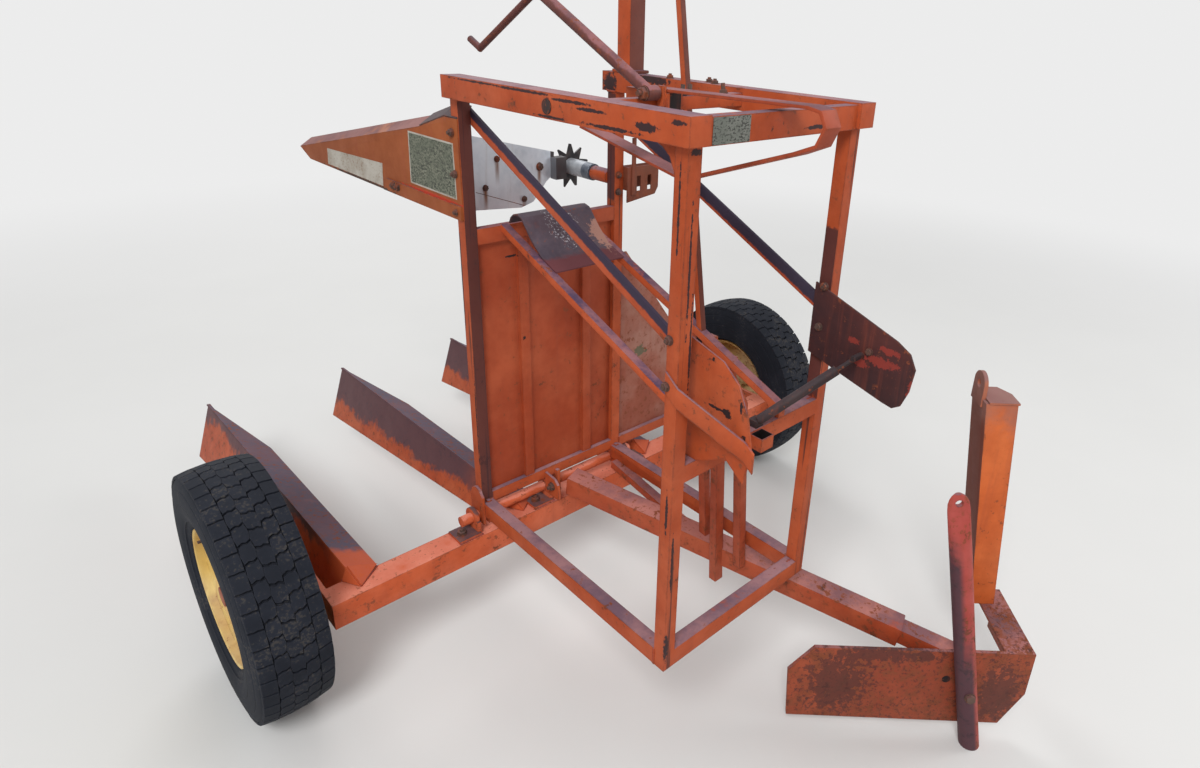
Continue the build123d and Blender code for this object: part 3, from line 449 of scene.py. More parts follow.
for number in (1, 2, 3, 4):
    node = f"prong_{number}"
    dress(node, prong_paint if number == 1 else dark_prong_paint, 1.8)
    low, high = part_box(node)
    ridge_x = low.x + 62.4 * MM
    ridge = Vector((ridge_x, RIDGE_ROOT[0], RIDGE_ROOT[1]))
    outer = ridge + Vector((0.074, 0, -0.032))
    toe = Vector((ridge_x + 0.012, beam_mid_y - 0.012, beam_top + 0.001))
    heel = Vector((ridge_x - 0.014, RIDGE_ROOT[0], beam_top + 0.001))
    for corners in ([ridge, outer, toe], [ridge, toe, heel]):
        normal = (corners[1] - corners[0]).cross(corners[2] - corners[0]).normalized()
        skin(toes, [[c + normal * lift for c in corners] for lift in (-0.004, 0.0004)])
    add_weld(bm, [heel, toe, outer + Vector((0, -0.002, -0.004))], 3.0)
    add_weld(bm, [ridge + Vector((-0.030, 0.002, -0.095)), heel + Vector((0, 0.002, 0))], 3.6)
add_piece("prong_toes", toes, prong_paint, "axle", 30)
add_piece("prong_welds", bm, weld_paint, "axle", 60)

# Wheels
# Each is a pressed steel rim, painted yellow, with a dish that faces outward. It is bolted on a hub and wears
# an old radial winter tyre, whose crown is cut into five rows of zigzag blocks.
TYRE_R = 0.335
GROOVE = 0.0075
PITCHES = 46


def lathe(bm, profile, centre, segments, facing):
    """Turns a closed profile of (radius, outward place) about the wheel's axis."""
    made = []
    for i in range(segments):
        a = 2 * math.pi * i / segments
        made.append([bm.verts.new(Vector(centre) + Vector((facing * w, r * math.cos(a), r * math.sin(a))))
                     for r, w in profile])
    count = len(profile)
    for i in range(segments):
        here = made[i]
        there = made[(i + 1) % segments]
        for k in range(count):
            j = (k + 1) % count
            bm.faces.new((here[k], here[j], there[j], there[k]))


def crown_radius(w):
    """Radius of the tread's surface at a distance from the tyre's middle."""
    return TYRE_R - 0.0004 - 0.0052 * (abs(w) / 0.068) ** 2.4


def soft_line(points, steps=5):
    """A smooth line through points, by Catmull-Rom spans."""
    ends = [points[0]] + list(points) + [points[-1]]
    line = []
    for k in range(1, len(ends) - 2):
        for i in range(steps):
            t = i / steps
            a, b, c, d = (Vector((*ends[k + n], 0)) for n in (-1, 0, 1, 2))
            p = 0.5 * ((2 * b) + (c - a) * t + (2 * a - 5 * b + 4 * c - d) * t ** 2
                       + (3 * b - a - 3 * c + d) * t ** 3)
            line.append((p.x, p.y))
    return line + [tuple(points[-1])]


def tyre_profile():
    """Half of the carcass from the bead to the crown, mirrored: (radius, place across)."""
    side = [
        (0.1875, 0.070), (0.194, 0.077), (0.206, 0.081), (0.2085, 0.0845), (0.213, 0.0848), (0.228, 0.0895),
        (0.250, 0.0918), (0.2525, 0.0908), (0.256, 0.0918), (0.275, 0.0905), (0.290, 0.0885), (0.2925, 0.0870),
        (0.2955, 0.0875), (0.306, 0.0850), (0.3155, 0.0815), (0.3215, 0.0745)]
    outer = soft_line(side, 3)
    outer += [(crown_radius(w) - GROOVE, w) for w in (0.066, 0.045, 0.022, 0.0)]
    mirrored = [(r, -w) for r, w in reversed(outer[:-1])]
    return outer + mirrored


# Columns: place across at the two sides, zigzag, slant of the slots, share of the pitch that is block, start.
TREAD_ROWS = [
    (-0.081, -0.0480, 0.0004, 0.002, 0.91, 0.00), (-0.0450, -0.0170, 0.0028, 0.007, 0.87, 0.35),
    (-0.0140, 0.0140, 0.0030, -0.007, 0.87, 0.80), (0.0170, 0.0450, 0.0028, 0.007, 0.87, 0.20),
    (0.0480, 0.081, 0.0004, -0.002, 0.91, 0.55)]


def add_block(bm, centre, outline, facing):
    """One tread block: its outline is (length along the crown, place across)."""
    mid_s = sum(s for s, w in outline) / len(outline)
    mid_w = sum(w for s, w in outline) / len(outline)

    def at(s, w, sink, shrink):
        s = mid_s + (s - mid_s) * shrink
        w = mid_w + (w - mid_w) * shrink
        r = crown_radius(w) - sink
        a = s / TYRE_R
        return Vector(centre) + Vector((facing * w, r * math.cos(a), r * math.sin(a)))

    skin(bm,
         [[at(s, w, GROOVE + 0.001, 1.03) for s, w in outline], [at(s, w, 0.0012, 1.0) for s, w in outline],
          [at(s, w, 0.0, 0.955) for s, w in outline]])


def tyre_mesh(name, centre, facing):
    """Carcass and tread blocks of one tyre."""
    bm = bmesh.new()
    lathe(bm, tyre_profile() + [(0.1875, -0.066), (0.1865, 0.0), (0.1875, 0.066)], centre, 120, facing)
    pitch = 2 * math.pi * TYRE_R / PITCHES
    for w0, w1, zig, slant, share, start in TREAD_ROWS:
        for n in range(PITCHES):
            a = (n + start) * pitch
            b = a + pitch * share
            mid = (a + b) / 2
            wm = (w0 + w1) / 2
            outline = [
                (a, w0), (mid, w0 - zig), (b, w0), (b + slant * 0.7, wm - 0.004), (b + slant * 0.3, wm + 0.004),
                (b + slant, w1), (mid + slant, w1 + zig), (a + slant, w1), (a + slant * 0.3, wm + 0.004),
                (a + slant * 0.7, wm - 0.004)]
            add_block(bm, centre, outline, facing)
    return from_bmesh(name, bm, 40)


def tyre_rubber():
    """Weathered black rubber: patches of grey dust, paler edges and specks of brown dirt."""
    material, tree, shader = new_material("tyre_rubber")
    where = place_on(tree)
    dust = grain(tree, where, 9.0, 8.0, 0.65)
    fine = grain(tree, where, 140.0, 5.0)
    color = tint(tree, mask(tree, dust, 0.35, 0.75), (0.007, 0.009, 0.015, 1), (0.018, 0.021, 0.031, 1))
    round_edge = wire(tree, "Bevel", {"Radius": 0.003}, samples=4).outputs[0]
    flat = wire(tree, "NewGeometry").outputs["True Normal"]
    turn = wire(tree, "VectorMath", {0: round_edge, 1: flat}, operation="DOT_PRODUCT").outputs["Value"]
    scuffed = mask(tree, minus(tree, 1.0, turn), 0.05, 0.35)
    color = tint(tree, times(tree, scuffed, 0.5), color, (0.050, 0.052, 0.062, 1))
    dirt = mask(tree, plus(tree, fine, times(tree, dust, 0.9)), 1.02, 1.18)
    color = tint(tree, times(tree, dirt, 0.35), color, (0.10, 0.085, 0.065, 1))
    connect(tree, shader, color, plus(tree, 0.62, times(tree, dust, 0.3)), plus(tree, fine, dust), 0.0005, 0.6)
    shader.inputs["Specular IOR Level"].default_value = 0.20
    return material


# Columns: radius, place across with the dish's side positive. The well lies between two seats for the beads.
RIM_PROFILE = [(0.0205, 0.034), (0.044, 0.034), (0.0458, 0.032), (0.0462, 0.0235), (0.048, 0.022),
               (0.060, 0.0215), (0.098, 0.0215), (0.112, 0.0225), (0.122, 0.027), (0.132, 0.0345),
               (0.142, 0.0395), (0.150, 0.041), (0.1575, 0.0415), (0.160, 0.044), (0.1615, 0.049),
               (0.167, 0.053), (0.1745, 0.0545), (0.176, 0.058), (0.1762, 0.069), (0.178, 0.073),
               (0.1825, 0.0757), (0.1845, 0.0755), (0.1850, 0.0735), (0.1838, 0.0712), (0.1800, 0.0695),
               (0.1798, 0.058), (0.178, 0.053), (0.170, 0.0505), (0.1645, 0.046), (0.1640, 0.042),
               (0.1640, -0.026), (0.1660, -0.034), (0.1775, -0.039), (0.1798, -0.044), (0.1800, -0.0695),
               (0.1838, -0.0712), (0.1850, -0.0735), (0.1845, -0.0755), (0.1825, -0.0757), (0.178, -0.073),
               (0.1762, -0.069), (0.1760, -0.046), (0.1742, -0.0425), (0.1640, -0.0385), (0.1605, -0.031),
               (0.1600, -0.026), (0.1600, 0.0345), (0.1575, 0.0370), (0.150, 0.0365), (0.142, 0.0348),
               (0.132, 0.0297), (0.122, 0.0222), (0.112, 0.0178), (0.098, 0.0165), (0.050, 0.0165),
               (0.0465, 0.013), (0.046, -0.050), (0.044, -0.052), (0.0205, -0.052)]
yellow_paint = painted("yellow_rim_paint", (0.66, 0.45, 0.125), (0.72, 0.57, 0.27), (0.45, 0.29, 0.12),
                       fading=0.8, top=0.25, chips=0.25, edges=0.6, speckle=0.30)
rusty_yellow = painted("rusty_yellow_paint", (0.56, 0.33, 0.09), (0.66, 0.50, 0.26), (0.30, 0.14, 0.07),
                       fading=0.9, top=0.3, chips=0.4, edges=0.9, speckle=0.6, place=(3.1, 0, 0))
hub_paint = painted("hub_paint", (0.36, 0.10, 0.045), (0.45, 0.16, 0.08), RUST, fading=0.7, top=0.3, chips=0.8,
                    edges=0.8, speckle=1.0)
rubber = tyre_rubber()
for side, facing, paint in (("near", -1, yellow_paint), ("far", 1, rusty_yellow)):
    body = side + "_wheel"
    low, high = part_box(side + "_tyre")
    centre = (low + high) / 2
    tyre = new_piece(side + "_tyre_tread", tyre_mesh(side + "_tyre", centre, facing), rubber, body)
    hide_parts(side + "_tyre")
    bm = bmesh.new()
    lathe(bm, RIM_PROFILE, centre, 96, facing)
    rim = new_piece(side + "_rim_pressed", from_bmesh(side + "_rim", bm), paint, body)
    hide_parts(side + "_rim")
    dress(side + "_hub_cap", hub_paint, 1.2)
    bm = bmesh.new()
    for p in ring_points(centre + Vector((facing * 0.0215, 0, 0)), (1, 0, 0), 0.083, 5, 0.3):
        add_bolt(bm, p, (facing, 0, 0), 13, stub=7)
    valve = centre + Vector((facing * 0.045, 0.150 * math.cos(0.9), 0.150 * math.sin(0.9)))
    skin(bm,
         [ring_points(valve + Vector((facing * t, 0, 0)), (1, 0, 0), r, 12)
          for t, r in ((-0.006, 0.006), (0.006, 0.0052), (0.012, 0.004), (0.030, 0.004), (0.031, 0.003))])
    add_piece(side + "_wheel_bolts", bm, bolt_steel, body, 25)

# Tower frame
# Four square posts are welded to thick square tubes along the top and to rails low down, and stand on hangers
# that hold the pivot shaft. The frame is orange; its top faces are burnt purple and pink by the sun, with a
# painted sky reflection mixed into that colour.


def ragged_spots(tree, places, scale=70.0, ragged=2.6):
    """A mask of ragged spots; each place is a centre and its half sizes."""
    where = place_on(tree)
    torn = times(tree, minus(tree, grain(tree, where, scale, 8.0, 0.7), 0.5), ragged)
    spots = 0.0
    for centre, half in places:
        off = wire(tree, "VectorMath", {0: where, 1: centre}, operation="SUBTRACT").outputs[0]
        off = wire(tree, "VectorMath", {0: off, 1: half}, operation="DIVIDE").outputs[0]
        far = wire(tree, "VectorMath", {0: off}, operation="LENGTH").outputs["Value"]
        spot = minus(tree, 1.0, mask(tree, plus(tree, far, torn), 0.75, 0.95))
        spots = calc(tree, "MAXIMUM", spots, spot)
    return spots


def between(tree, value, low, high, soft=0.004):
    """1 where the value lies between low and high."""
    over = mask(tree, value, low - soft, low + soft)
    return times(tree, over, minus(tree, 1.0, mask(tree, value, high - soft, high + soft)))


def add_square_weld(bm, centre, half_u, half_v, u=(1, 0, 0), v=(0, 1, 0), radius=3.2):
    """A weld bead round a square tube's end."""
    u = Vector(u) * half_u
    v = Vector(v) * half_v
    c = Vector(centre)
    add_weld(bm, [c - u - v, c + u - v, c + u + v, c - u + v, c - u - v], radius)


frame_paint, post_paint = [painted(name, ORANGE, (0.48, 0.110, 0.042), (0.150, 0.085, 0.115),
                                   (0.32, 0.165, 0.175), fading=0.6, top=1.0, chips=0.6, edges=0.9,
                                   speckle=0.35)
                           for name in ("frame_paint", "post_paint")]
POST_HALF = 16 * MM
NEAR_X = -384 * MM
FAR_X = 82 * MM
REAR_Y = 4.75 * MM
FRONT_Y = -735.25 * MM
TUBE_LOW = 1546 * MM
TUBE_TOP = 1596 * MM
TUBE_FACE = -418 * MM      # outer face of the near top tube
LOWER_RAIL_Z = 0.435
RAIL_HALF = 0.021
CROSS_TUBE_Z = 0.908
CROSS_HALF = 0.019
SILL_Z = 0.461
# Columns: centre, half sizes of each worn spot.
FRAME_SPOTS = [
    ((TUBE_FACE, -0.668, 1.567), (0.012, 0.034, 0.0085)), ((TUBE_FACE, -0.300, 1.591), (0.012, 0.120, 0.0032)),
    ((TUBE_FACE, -0.520, 1.577), (0.012, 0.045, 0.0036)), ((TUBE_FACE, -0.455, 1.586), (0.012, 0.070, 0.0036)),
    ((TUBE_FACE, -0.130, 1.592), (0.012, 0.120, 0.0024)), ((TUBE_FACE, -0.745, 1.583), (0.012, 0.020, 0.0050)),
    ((TUBE_FACE, -0.570, 1.553), (0.012, 0.090, 0.0040)), ((TUBE_FACE, -0.400, 1.551), (0.012, 0.060, 0.0030)),
    ((0.066, -0.140, 1.588), (0.012, 0.090, 0.0120)), ((0.066, 0.014, 1.566), (0.012, 0.032, 0.0300)),
    ((-0.384, -0.751, 1.536), (0.014, 0.010, 0.0080)), ((-0.400, -0.734, 1.430), (0.006, 0.003, 0.0900)),
    ((-0.384, -0.751, 1.330), (0.003, 0.006, 0.1300)), ((-0.372, -0.751, 1.180), (0.003, 0.006, 0.1000)),
    ((-0.400, -0.738, 0.820), (0.006, 0.004, 0.0600)), ((-0.390, -0.751, 0.700), (0.004, 0.006, 0.0900)),
    ((-0.395, -0.751, 0.480), (0.008, 0.006, 0.0400)), ((0.098, -0.751, 0.900), (0.003, 0.008, 0.0900)),
    ((-0.400, 0.018, 1.100), (0.006, 0.003, 0.1500)), ((-0.400, -0.008, 0.700), (0.006, 0.003, 0.1600)),
    ((-0.330, -0.760, 1.560), (0.040, 0.004, 0.0040)), ((-0.050, -0.760, 1.558), (0.060, 0.004, 0.0050))]
tree = post_paint.node_tree
lay_over(post_paint, (0.035, 0.015, 0.016), ragged_spots(tree, FRAME_SPOTS, 95.0))
place = place_on(tree)
axes = axes_of(tree, place)
on_near = between(tree, axes[0], NEAR_X - 0.020, NEAR_X + 0.020)
on_far = between(tree, axes[0], FAR_X - 0.020, FAR_X + 0.020)
on_rear = between(tree, axes[1], REAR_Y - 0.020, REAR_Y + 0.020)
on_front = between(tree, axes[1], FRONT_Y - 0.020, FRONT_Y + 0.020)
on_post = times(tree, plus(tree, on_near, on_far), plus(tree, on_rear, on_front))
on_post = times(tree, on_post, minus(tree, 1.0, mask(tree, axes[2], 1.538, 1.544)))
stretched = wire(tree, "Mapping", {"Vector": place, "Scale": (75, 75, 1.7)}).outputs[0]
seams = mask(tree, grain(tree, stretched, 1.0, 3.0, 0.5), 0.59, 0.64)
lay_over(post_paint, (0.050, 0.017, 0.014), times(tree, times(tree, seams, on_post), 0.8))
# painted shade: the far posts are dark along part of their near sides, and the near rear post on its front side
ragged_z = plus(tree, axes[2], times(tree, grain(tree, place, 30.0), 0.05))
front_part = times(tree, on_front, between(tree, ragged_z, 0.955, 1.360))
rear_part = times(tree, on_rear, mask(tree, ragged_z, 1.270, 1.280))
shaded = times(tree, calc(tree, "MAXIMUM", front_part, rear_part), on_far)
shaded = times(tree, shaded, facing_to(tree, (-1, 0, 0)))
rear_shaded = times(tree, times(tree, on_near, on_rear), facing_to(tree, (0, -1, 0)))
shaded = times(tree, calc(tree, "MAXIMUM", shaded, rear_shaded), on_post)
lay_over(post_paint, (0.045, 0.018, 0.020), times(tree, shaded, 0.85))


def worn_label(name, ground, worn, mark, share):
    """A blank sticker that the weather has worn through in specks."""
    material, tree, shader = new_material(name)
    where = place_on(tree)
    stretched = wire(tree, "Mapping", {"Vector": where, "Scale": (1, 1, 1.6)}).outputs[0]
    cloud = grain(tree, where, 16.0, 5.0)
    specks = grain(tree, stretched, 150.0, 9.0, 0.75)
    color = tint(tree, mask(tree, cloud, 0.35, 0.65), (*ground, 1), (*worn, 1))
    low = minus(tree, share, times(tree, cloud, 0.18))
    color = tint(tree, mask(tree, minus(tree, specks, low), 0.0, 0.04), color, (*mark, 1))
    connect(tree, shader, color, plus(tree, 0.5, times(tree, specks, 0.3)), specks, 0.0003, 0.5)
    return material


def add_patch(bm, corners, lift):
    """A thin plate on four or more corners, lifted along its normal."""
    corners = [Vector(c) for c in corners]
    normal = (corners[1] - corners[0]).cross(corners[-1] - corners[0]).normalized() * lift
    skin(bm, [corners, [c + normal for c in corners]])


dress("tower_frame", post_paint, 2.6)
dress("pivot_shaft", sunlit_beam_paint, 1.0)
bm = bmesh.new()
for x in (NEAR_X, FAR_X):
    for y in (REAR_Y, FRONT_Y):
        add_square_weld(bm, (x, y, TUBE_LOW), POST_HALF, POST_HALF)
for x in (NEAR_X + POST_HALF, FAR_X - POST_HALF):
    for z, half in ((LOWER_RAIL_Z, RAIL_HALF), (CROSS_TUBE_Z, CROSS_HALF)):
        add_square_weld(bm, (x, FRONT_Y, z), POST_HALF, half, v=(0, 0, 1))
for x in (NEAR_X, FAR_X):
    for y, way in ((REAR_Y, -1), (FRONT_Y, 1)):
        add_square_weld(bm, (x, y + way * POST_HALF, LOWER_RAIL_Z), POST_HALF, RAIL_HALF, v=(0, 0, 1))
add_square_weld(bm, (FAR_X + POST_HALF, REAR_Y, SILL_Z), POST_HALF, POST_HALF, (0, 1, 0), (0, 0, 1))
BAR_FACE_Y = -760.25 * MM
add_weld(bm,
         [(NEAR_X + POST_HALF, BAR_FACE_Y - 0.001, TUBE_LOW),
          (NEAR_X + POST_HALF, BAR_FACE_Y - 0.001, TUBE_TOP)], 2.6)
add_piece("tower_welds", bm, weld_paint, "tower", 60)

# a gusset fills the corner under the near tube, and cheek plates hold the pivot shaft against the sill
bm = bmesh.new()
gusset = [(POST_HALF, 0), (POST_HALF + 0.062, 0), (POST_HALF + 0.036, -0.010), (POST_HALF + 0.018, -0.024),
          (POST_HALF + 0.007, -0.046), (POST_HALF, -0.078)]
rows = [[Vector((x, FRONT_Y + y, TUBE_LOW + z)) for y, z in gusset] for x in (-0.395, -0.389)]
skin(bm, rows)
cheek = [(0.036, 0.392), (0.036, 0.470), (0.026, 0.492), (0.010, 0.502), (-0.008, 0.498), (-0.024, 0.478),
         (-0.026, 0.392)]
skin(bm, [[Vector((x, y, z)) for y, z in cheek] for x in (-0.4085, -0.4000)])
lug = [(-0.012, 0.400), (-0.012, 0.466), (-0.058, 0.462), (-0.074, 0.448), (-0.080, 0.424), (-0.078, 0.400)]
skin(bm, [[Vector((x, y, z)) for y, z in lug] for x in (-0.190, -0.182)])
add_piece("gusset_and_cheeks", bm, frame_paint, "tower", 30)

bm = bmesh.new()
add_bolt(bm, (-0.400, -0.726, 1.196), (-1, 0, 0), 9, stub=4)
add_bolt(bm, (-0.405, -0.727, 1.104), (-1, 0, 0), 9, stub=3)
add_bolt(bm, (-0.190, -0.048, 0.435), (-1, 0, 0), 12, stub=8)
for x, y in ((0.082, -0.353), (0.100, -0.318), (0.078, -0.205)):
    add_bolt(bm, (x, y, TUBE_TOP), UP, 9, stub=4)
for x, z in ((0.079, 1.3235), (0.079, 1.276)):
    add_bolt(bm, (x, REAR_Y - POST_HALF, z), (0, -1, 0), 9, stub=3)
add_piece("tower_bolts", bm, bolt_steel, "tower", 25)

# a round plug closes a hole in the near tube
bm = bmesh.new()
plug = Vector((TUBE_FACE, -0.384, 1.570))
skin(bm,
     [ring_points(plug + Vector((-h, 0, 0)), (1, 0, 0), r, 24)
      for h, r in ((-0.001, 0.015), (0.0016, 0.015), (0.0022, 0.0135), (0.0010, 0.0120))])
plug_paint = painted("plug_paint", (0.026, 0.018, 0.018), (0.050, 0.032, 0.030), BARE_STEEL, BARE_STEEL,
                     fading=0.8, top=0.3, chips=0.2, edges=0.6, speckle=0.5)
add_piece("tube_plug", bm, plug_paint, "tower", 30)

grey_label = worn_label("grey_label", (0.115, 0.125, 0.105), (0.185, 0.190, 0.165), (0.030, 0.030, 0.026), 0.60)
bm = bmesh.new()
add_patch(bm,
          [(-0.356, BAR_FACE_Y, 1.5455), (-0.262, BAR_FACE_Y, 1.5455), (-0.262, BAR_FACE_Y, 1.5905),
           (-0.356, BAR_FACE_Y, 1.5905)], 0.7 * MM)
add_piece("front_bar_label", bm, grey_label, "tower")

# Panels
# A sheet closes the back of the tower between the rear posts, stiffened by two ribs and a top rail. A smaller
# sheet stands on the sill at the far side. Both are welded in and painted like the frame.
# The back sheet's orange is a little darker than the frame's, which is painted shade.
panel_paint = painted("panel_paint", (0.345, 0.055, 0.017), (0.430, 0.092, 0.035), fading=0.8, top=0.9,
                      chips=0.35, edges=0.6, speckle=0.3, place=(0, 5.2, 0))
lay_over(panel_paint, (0.022, 0.013, 0.014),
         ragged_spots(panel_paint.node_tree,
                      [((-0.2428, 0.0027, 0.9137), (0.007, 0.02, 0.0070)),
                       ((-0.2700, 0.0027, 1.1480), (0.022, 0.02, 0.0040)),
                       ((-0.1000, 0.0027, 1.1500), (0.016, 0.02, 0.0035))], 95.0))
side_panel_paint = painted("side_panel_paint", (0.30, 0.085, 0.050), (0.38, 0.19, 0.145), fading=1.0, top=0.7,
                           chips=0.5, edges=0.6, speckle=0.6, place=(2.4, 0, 0))
grass_stain = ragged_spots(side_panel_paint.node_tree, [((0.1923, 0.0027, 0.7519), (0.024, 0.03, 0.018))], 60.0,
                           4.0)
lay_over(side_panel_paint, (0.085, 0.105, 0.060), times(side_panel_paint.node_tree, grass_stain, 0.8))
dress("back_panel", panel_paint, 1.2)
dress("side_panel", side_panel_paint, 1.0)

# Chute
# Two sloping rails run down from the panel to the front cross tube and end under a curved lip of thin sheet,
# rolled over at the back. Flat braces on the posts' inner faces hold the tower square.
brace_paint = painted("brace_paint", (0.42, 0.072, 0.022), (0.44, 0.10, 0.045), (0.040, 0.030, 0.062),
                      (0.120, 0.052, 0.070), fading=0.5, top=1.0, chips=0.6, edges=0.8, speckle=0.35)
rail_paint = painted("rail_paint", (0.48, 0.083, 0.024), FADED_ORANGE, (0.066, 0.040, 0.084),
                     (0.30, 0.125, 0.130), fading=0.5, top=1.0, chips=0.6, edges=0.8, speckle=0.35)
lip_paint = painted("lip_paint", (0.050, 0.032, 0.042), (0.085, 0.055, 0.070), (0.046, 0.036, 0.052),
                    (0.095, 0.070, 0.088), fading=0.9, top=1.0, chips=0.4, edges=0.8, speckle=0.4)
tree = brace_paint.node_tree
axes = axes_of(tree, place_on(tree))
BRACE_SLOPE = 0.35 / 0.74
BRACE_TOP = 1.510          # the brace's middle line at the rear posts
brace_line = plus(tree, times(tree, minus(tree, axes[1], REAR_Y), BRACE_SLOPE), BRACE_TOP)
above = minus(tree, axes[2], brace_line)
above = plus(tree, above, times(tree, minus(tree, grain(tree, place_on(tree), 40.0, 6.0), 0.5), 0.012))
far_dark = times(tree, mask(tree, axes[0], -0.10, -0.05), mask(tree, above, -0.0125, -0.0075))
lay_over(brace_paint, (0.034, 0.024, 0.044),
         calc(tree, "MAXIMUM", mask(tree, above, -0.0025, 0.0025), far_dark))
for node in ("near_brace", "far_brace"):
    dress(node, brace_paint, 1.4)
for node in ("near_chute_rail", "far_chute_rail"):
    dress(node, rail_paint, 1.4)
tree, place, axes = places_in(lip_paint)
lip_low, lip_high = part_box("chute_lip")
torn = times(tree, grain(tree, place, 60.0, 6.0), 0.012)
hem = minus(tree, 1.0, mask(tree, plus(tree, axes[2], torn), lip_low.z + 0.024, lip_low.z + 0.030))
lay_over(lip_paint, (0.115, 0.034, 0.040), hem)
middle = ((lip_low.x + lip_high.x) / 2, (lip_low.y + lip_high.y) / 2, lip_low.z + 0.085)
speckled = times(tree, ragged_spots(tree, [(middle, (0.050, 0.20, 0.060))], 30.0, 1.6),
                 mask(tree, grain(tree, place, 210.0, 6.0, 0.7), 0.56, 0.60))
lay_over(lip_paint, (0.42, 0.42, 0.45), speckled)
worn_end = ((lip_high.x, (lip_low.y + lip_high.y) / 2 - 0.03, lip_low.z + 0.050), (0.040, 0.12, 0.035))
lay_over(lip_paint, (0.36, 0.19, 0.15), ragged_spots(tree, [worn_end], 90.0, 3.0))
dress("chute_lip", lip_paint, 0.8)
side_plate_paint = painted("side_plate_paint", ORANGE, FADED_ORANGE, fading=0.8, top=1.0, chips=0.7, edges=0.9,
                           speckle=0.5)
# Columns: centre, half sizes of the dark marks and the bolt hole.
PLATE_MARKS = [
    ((-0.336, -0.822, 1.064), (0.01, 0.013, 0.010)), ((-0.336, -0.795, 1.064), (0.01, 0.026, 0.0040)),
    ((-0.336, -0.865, 1.012), (0.01, 0.009, 0.0260)), ((-0.336, -0.780, 1.160), (0.01, 0.004, 0.0050)),
    ((-0.336, -0.855, 1.090), (0.01, 0.004, 0.0120)), ((-0.336, -0.750, 1.040), (0.01, 0.030, 0.0035))]
lay_over(side_plate_paint, (0.022, 0.013, 0.014), ragged_spots(side_plate_paint.node_tree, PLATE_MARKS, 95.0))
dress("chute_side", side_plate_paint, 1.0)
dress("side_tie", frame_paint, 0.8)

# a short open socket of square tube is welded to the front of the cross tube
SOCKET_LOW = Vector((-171.9, -784.5, 893.0)) * MM
SOCKET_HIGH = Vector((-132.5, -750.2, 924.6)) * MM
SOCKET_WALL = 3 * MM
socket_paint = painted("socket_paint", (0.44, 0.078, 0.022), (0.50, 0.120, 0.045), fading=0.7, top=0.8,
                       chips=0.6, edges=0.9, speckle=0.5)
tree = socket_paint.node_tree
axes = axes_of(tree, place_on(tree))
# painted shade: the inside of the open socket is laid over in near black
socket_inside_shade = [between(tree, axes[k], SOCKET_LOW[k] + 0.7 * SOCKET_WALL, SOCKET_HIGH[k] - 0.7 * SOCKET_WALL,
                  0.4 * MM)
          for k in (0, 1)]
lay_over(socket_paint, (0.012, 0.009, 0.009), times(tree, socket_inside_shade[0], socket_inside_shade[1]))


def level_box(low, high, z, inset):
    """The four corners of a level rectangle, drawn in by inset."""
    return [Vector((x, y, z))
            for x, y in ((low.x + inset, low.y + inset), (high.x - inset, low.y + inset),
                         (high.x - inset, high.y - inset), (low.x + inset, high.y - inset))]


bm = bmesh.new()
skin(bm,
     [level_box(SOCKET_LOW, SOCKET_HIGH, z, inset)
      for z, inset in ((SOCKET_LOW.z, 0.5 * MM), (SOCKET_LOW.z + 0.5 * MM, 0.0),
                       (SOCKET_HIGH.z - 0.5 * MM, 0.0), (SOCKET_HIGH.z, 0.5 * MM), (SOCKET_HIGH.z, SOCKET_WALL),
                       (SOCKET_LOW.z + 2 * MM, SOCKET_WALL))])
add_piece("front_socket", bm, socket_paint, "tower", 30)

# Wing and deflector
# A tapered sheet, folded over at its top edge, guides the bales behind the near post. A galvanised sheet with
# two folds leads from it to the counting star. Both are bolted to the post.
wing_paint = painted("wing_paint", (0.270, 0.066, 0.015), (0.330, 0.092, 0.028), (0.155, 0.062, 0.062),
                     (0.250, 0.110, 0.100), fading=0.6, top=1.0, chips=0.2, edges=0.6, speckle=0.1)
fold_paint = painted("fold_paint", (0.060, 0.034, 0.032), (0.085, 0.050, 0.046), (0.040, 0.028, 0.034),
                     (0.070, 0.048, 0.052), fading=0.8, top=1.0, chips=0.4, edges=0.7, speckle=0.4)
WING_FACE = -403 * MM
tree = wing_paint.node_tree
lay_over(wing_paint, (0.42, 0.046, 0.020),
         ragged_spots(tree, [((WING_FACE, 0.130, 1.3005), (0.02, 0.180, 0.0040))]))
lay_over(wing_paint, (0.060, 0.028, 0.016),
         ragged_spots(tree, [((WING_FACE, 0.560, 1.2650), (0.02, 0.260, 0.0050))]))
dress("side_wing", wing_paint, 1.0)
bm = bmesh.new()
bar_corners = [(0.408, 1.2630), (0.386, 1.2975), (-0.008, 1.2975), (-0.008, 1.2630)]
add_patch(bm, [(WING_FACE, y, z) for y, z in bar_corners], -4 * MM)
add_piece("wing_bar", bm, wing_paint, "tower")

# the dark end of the fold climbs to the post
bm = bmesh.new()
fold_line = [(0.176, 1.462), (0.050, 1.500), (-0.009, 1.500)]
rows = []
for y, z in fold_line:
    edge = Vector((WING_FACE + 0.001, y, z))
    rim = edge + Vector((0.040, 0, 0.026))
    rows.append([edge, rim, rim + Vector((-0.001, 0, 0.003)), edge + Vector((-0.001, 0, 0.003))])
skin(bm, rows)
add_piece("wing_fold_end", bm, fold_paint, "tower")

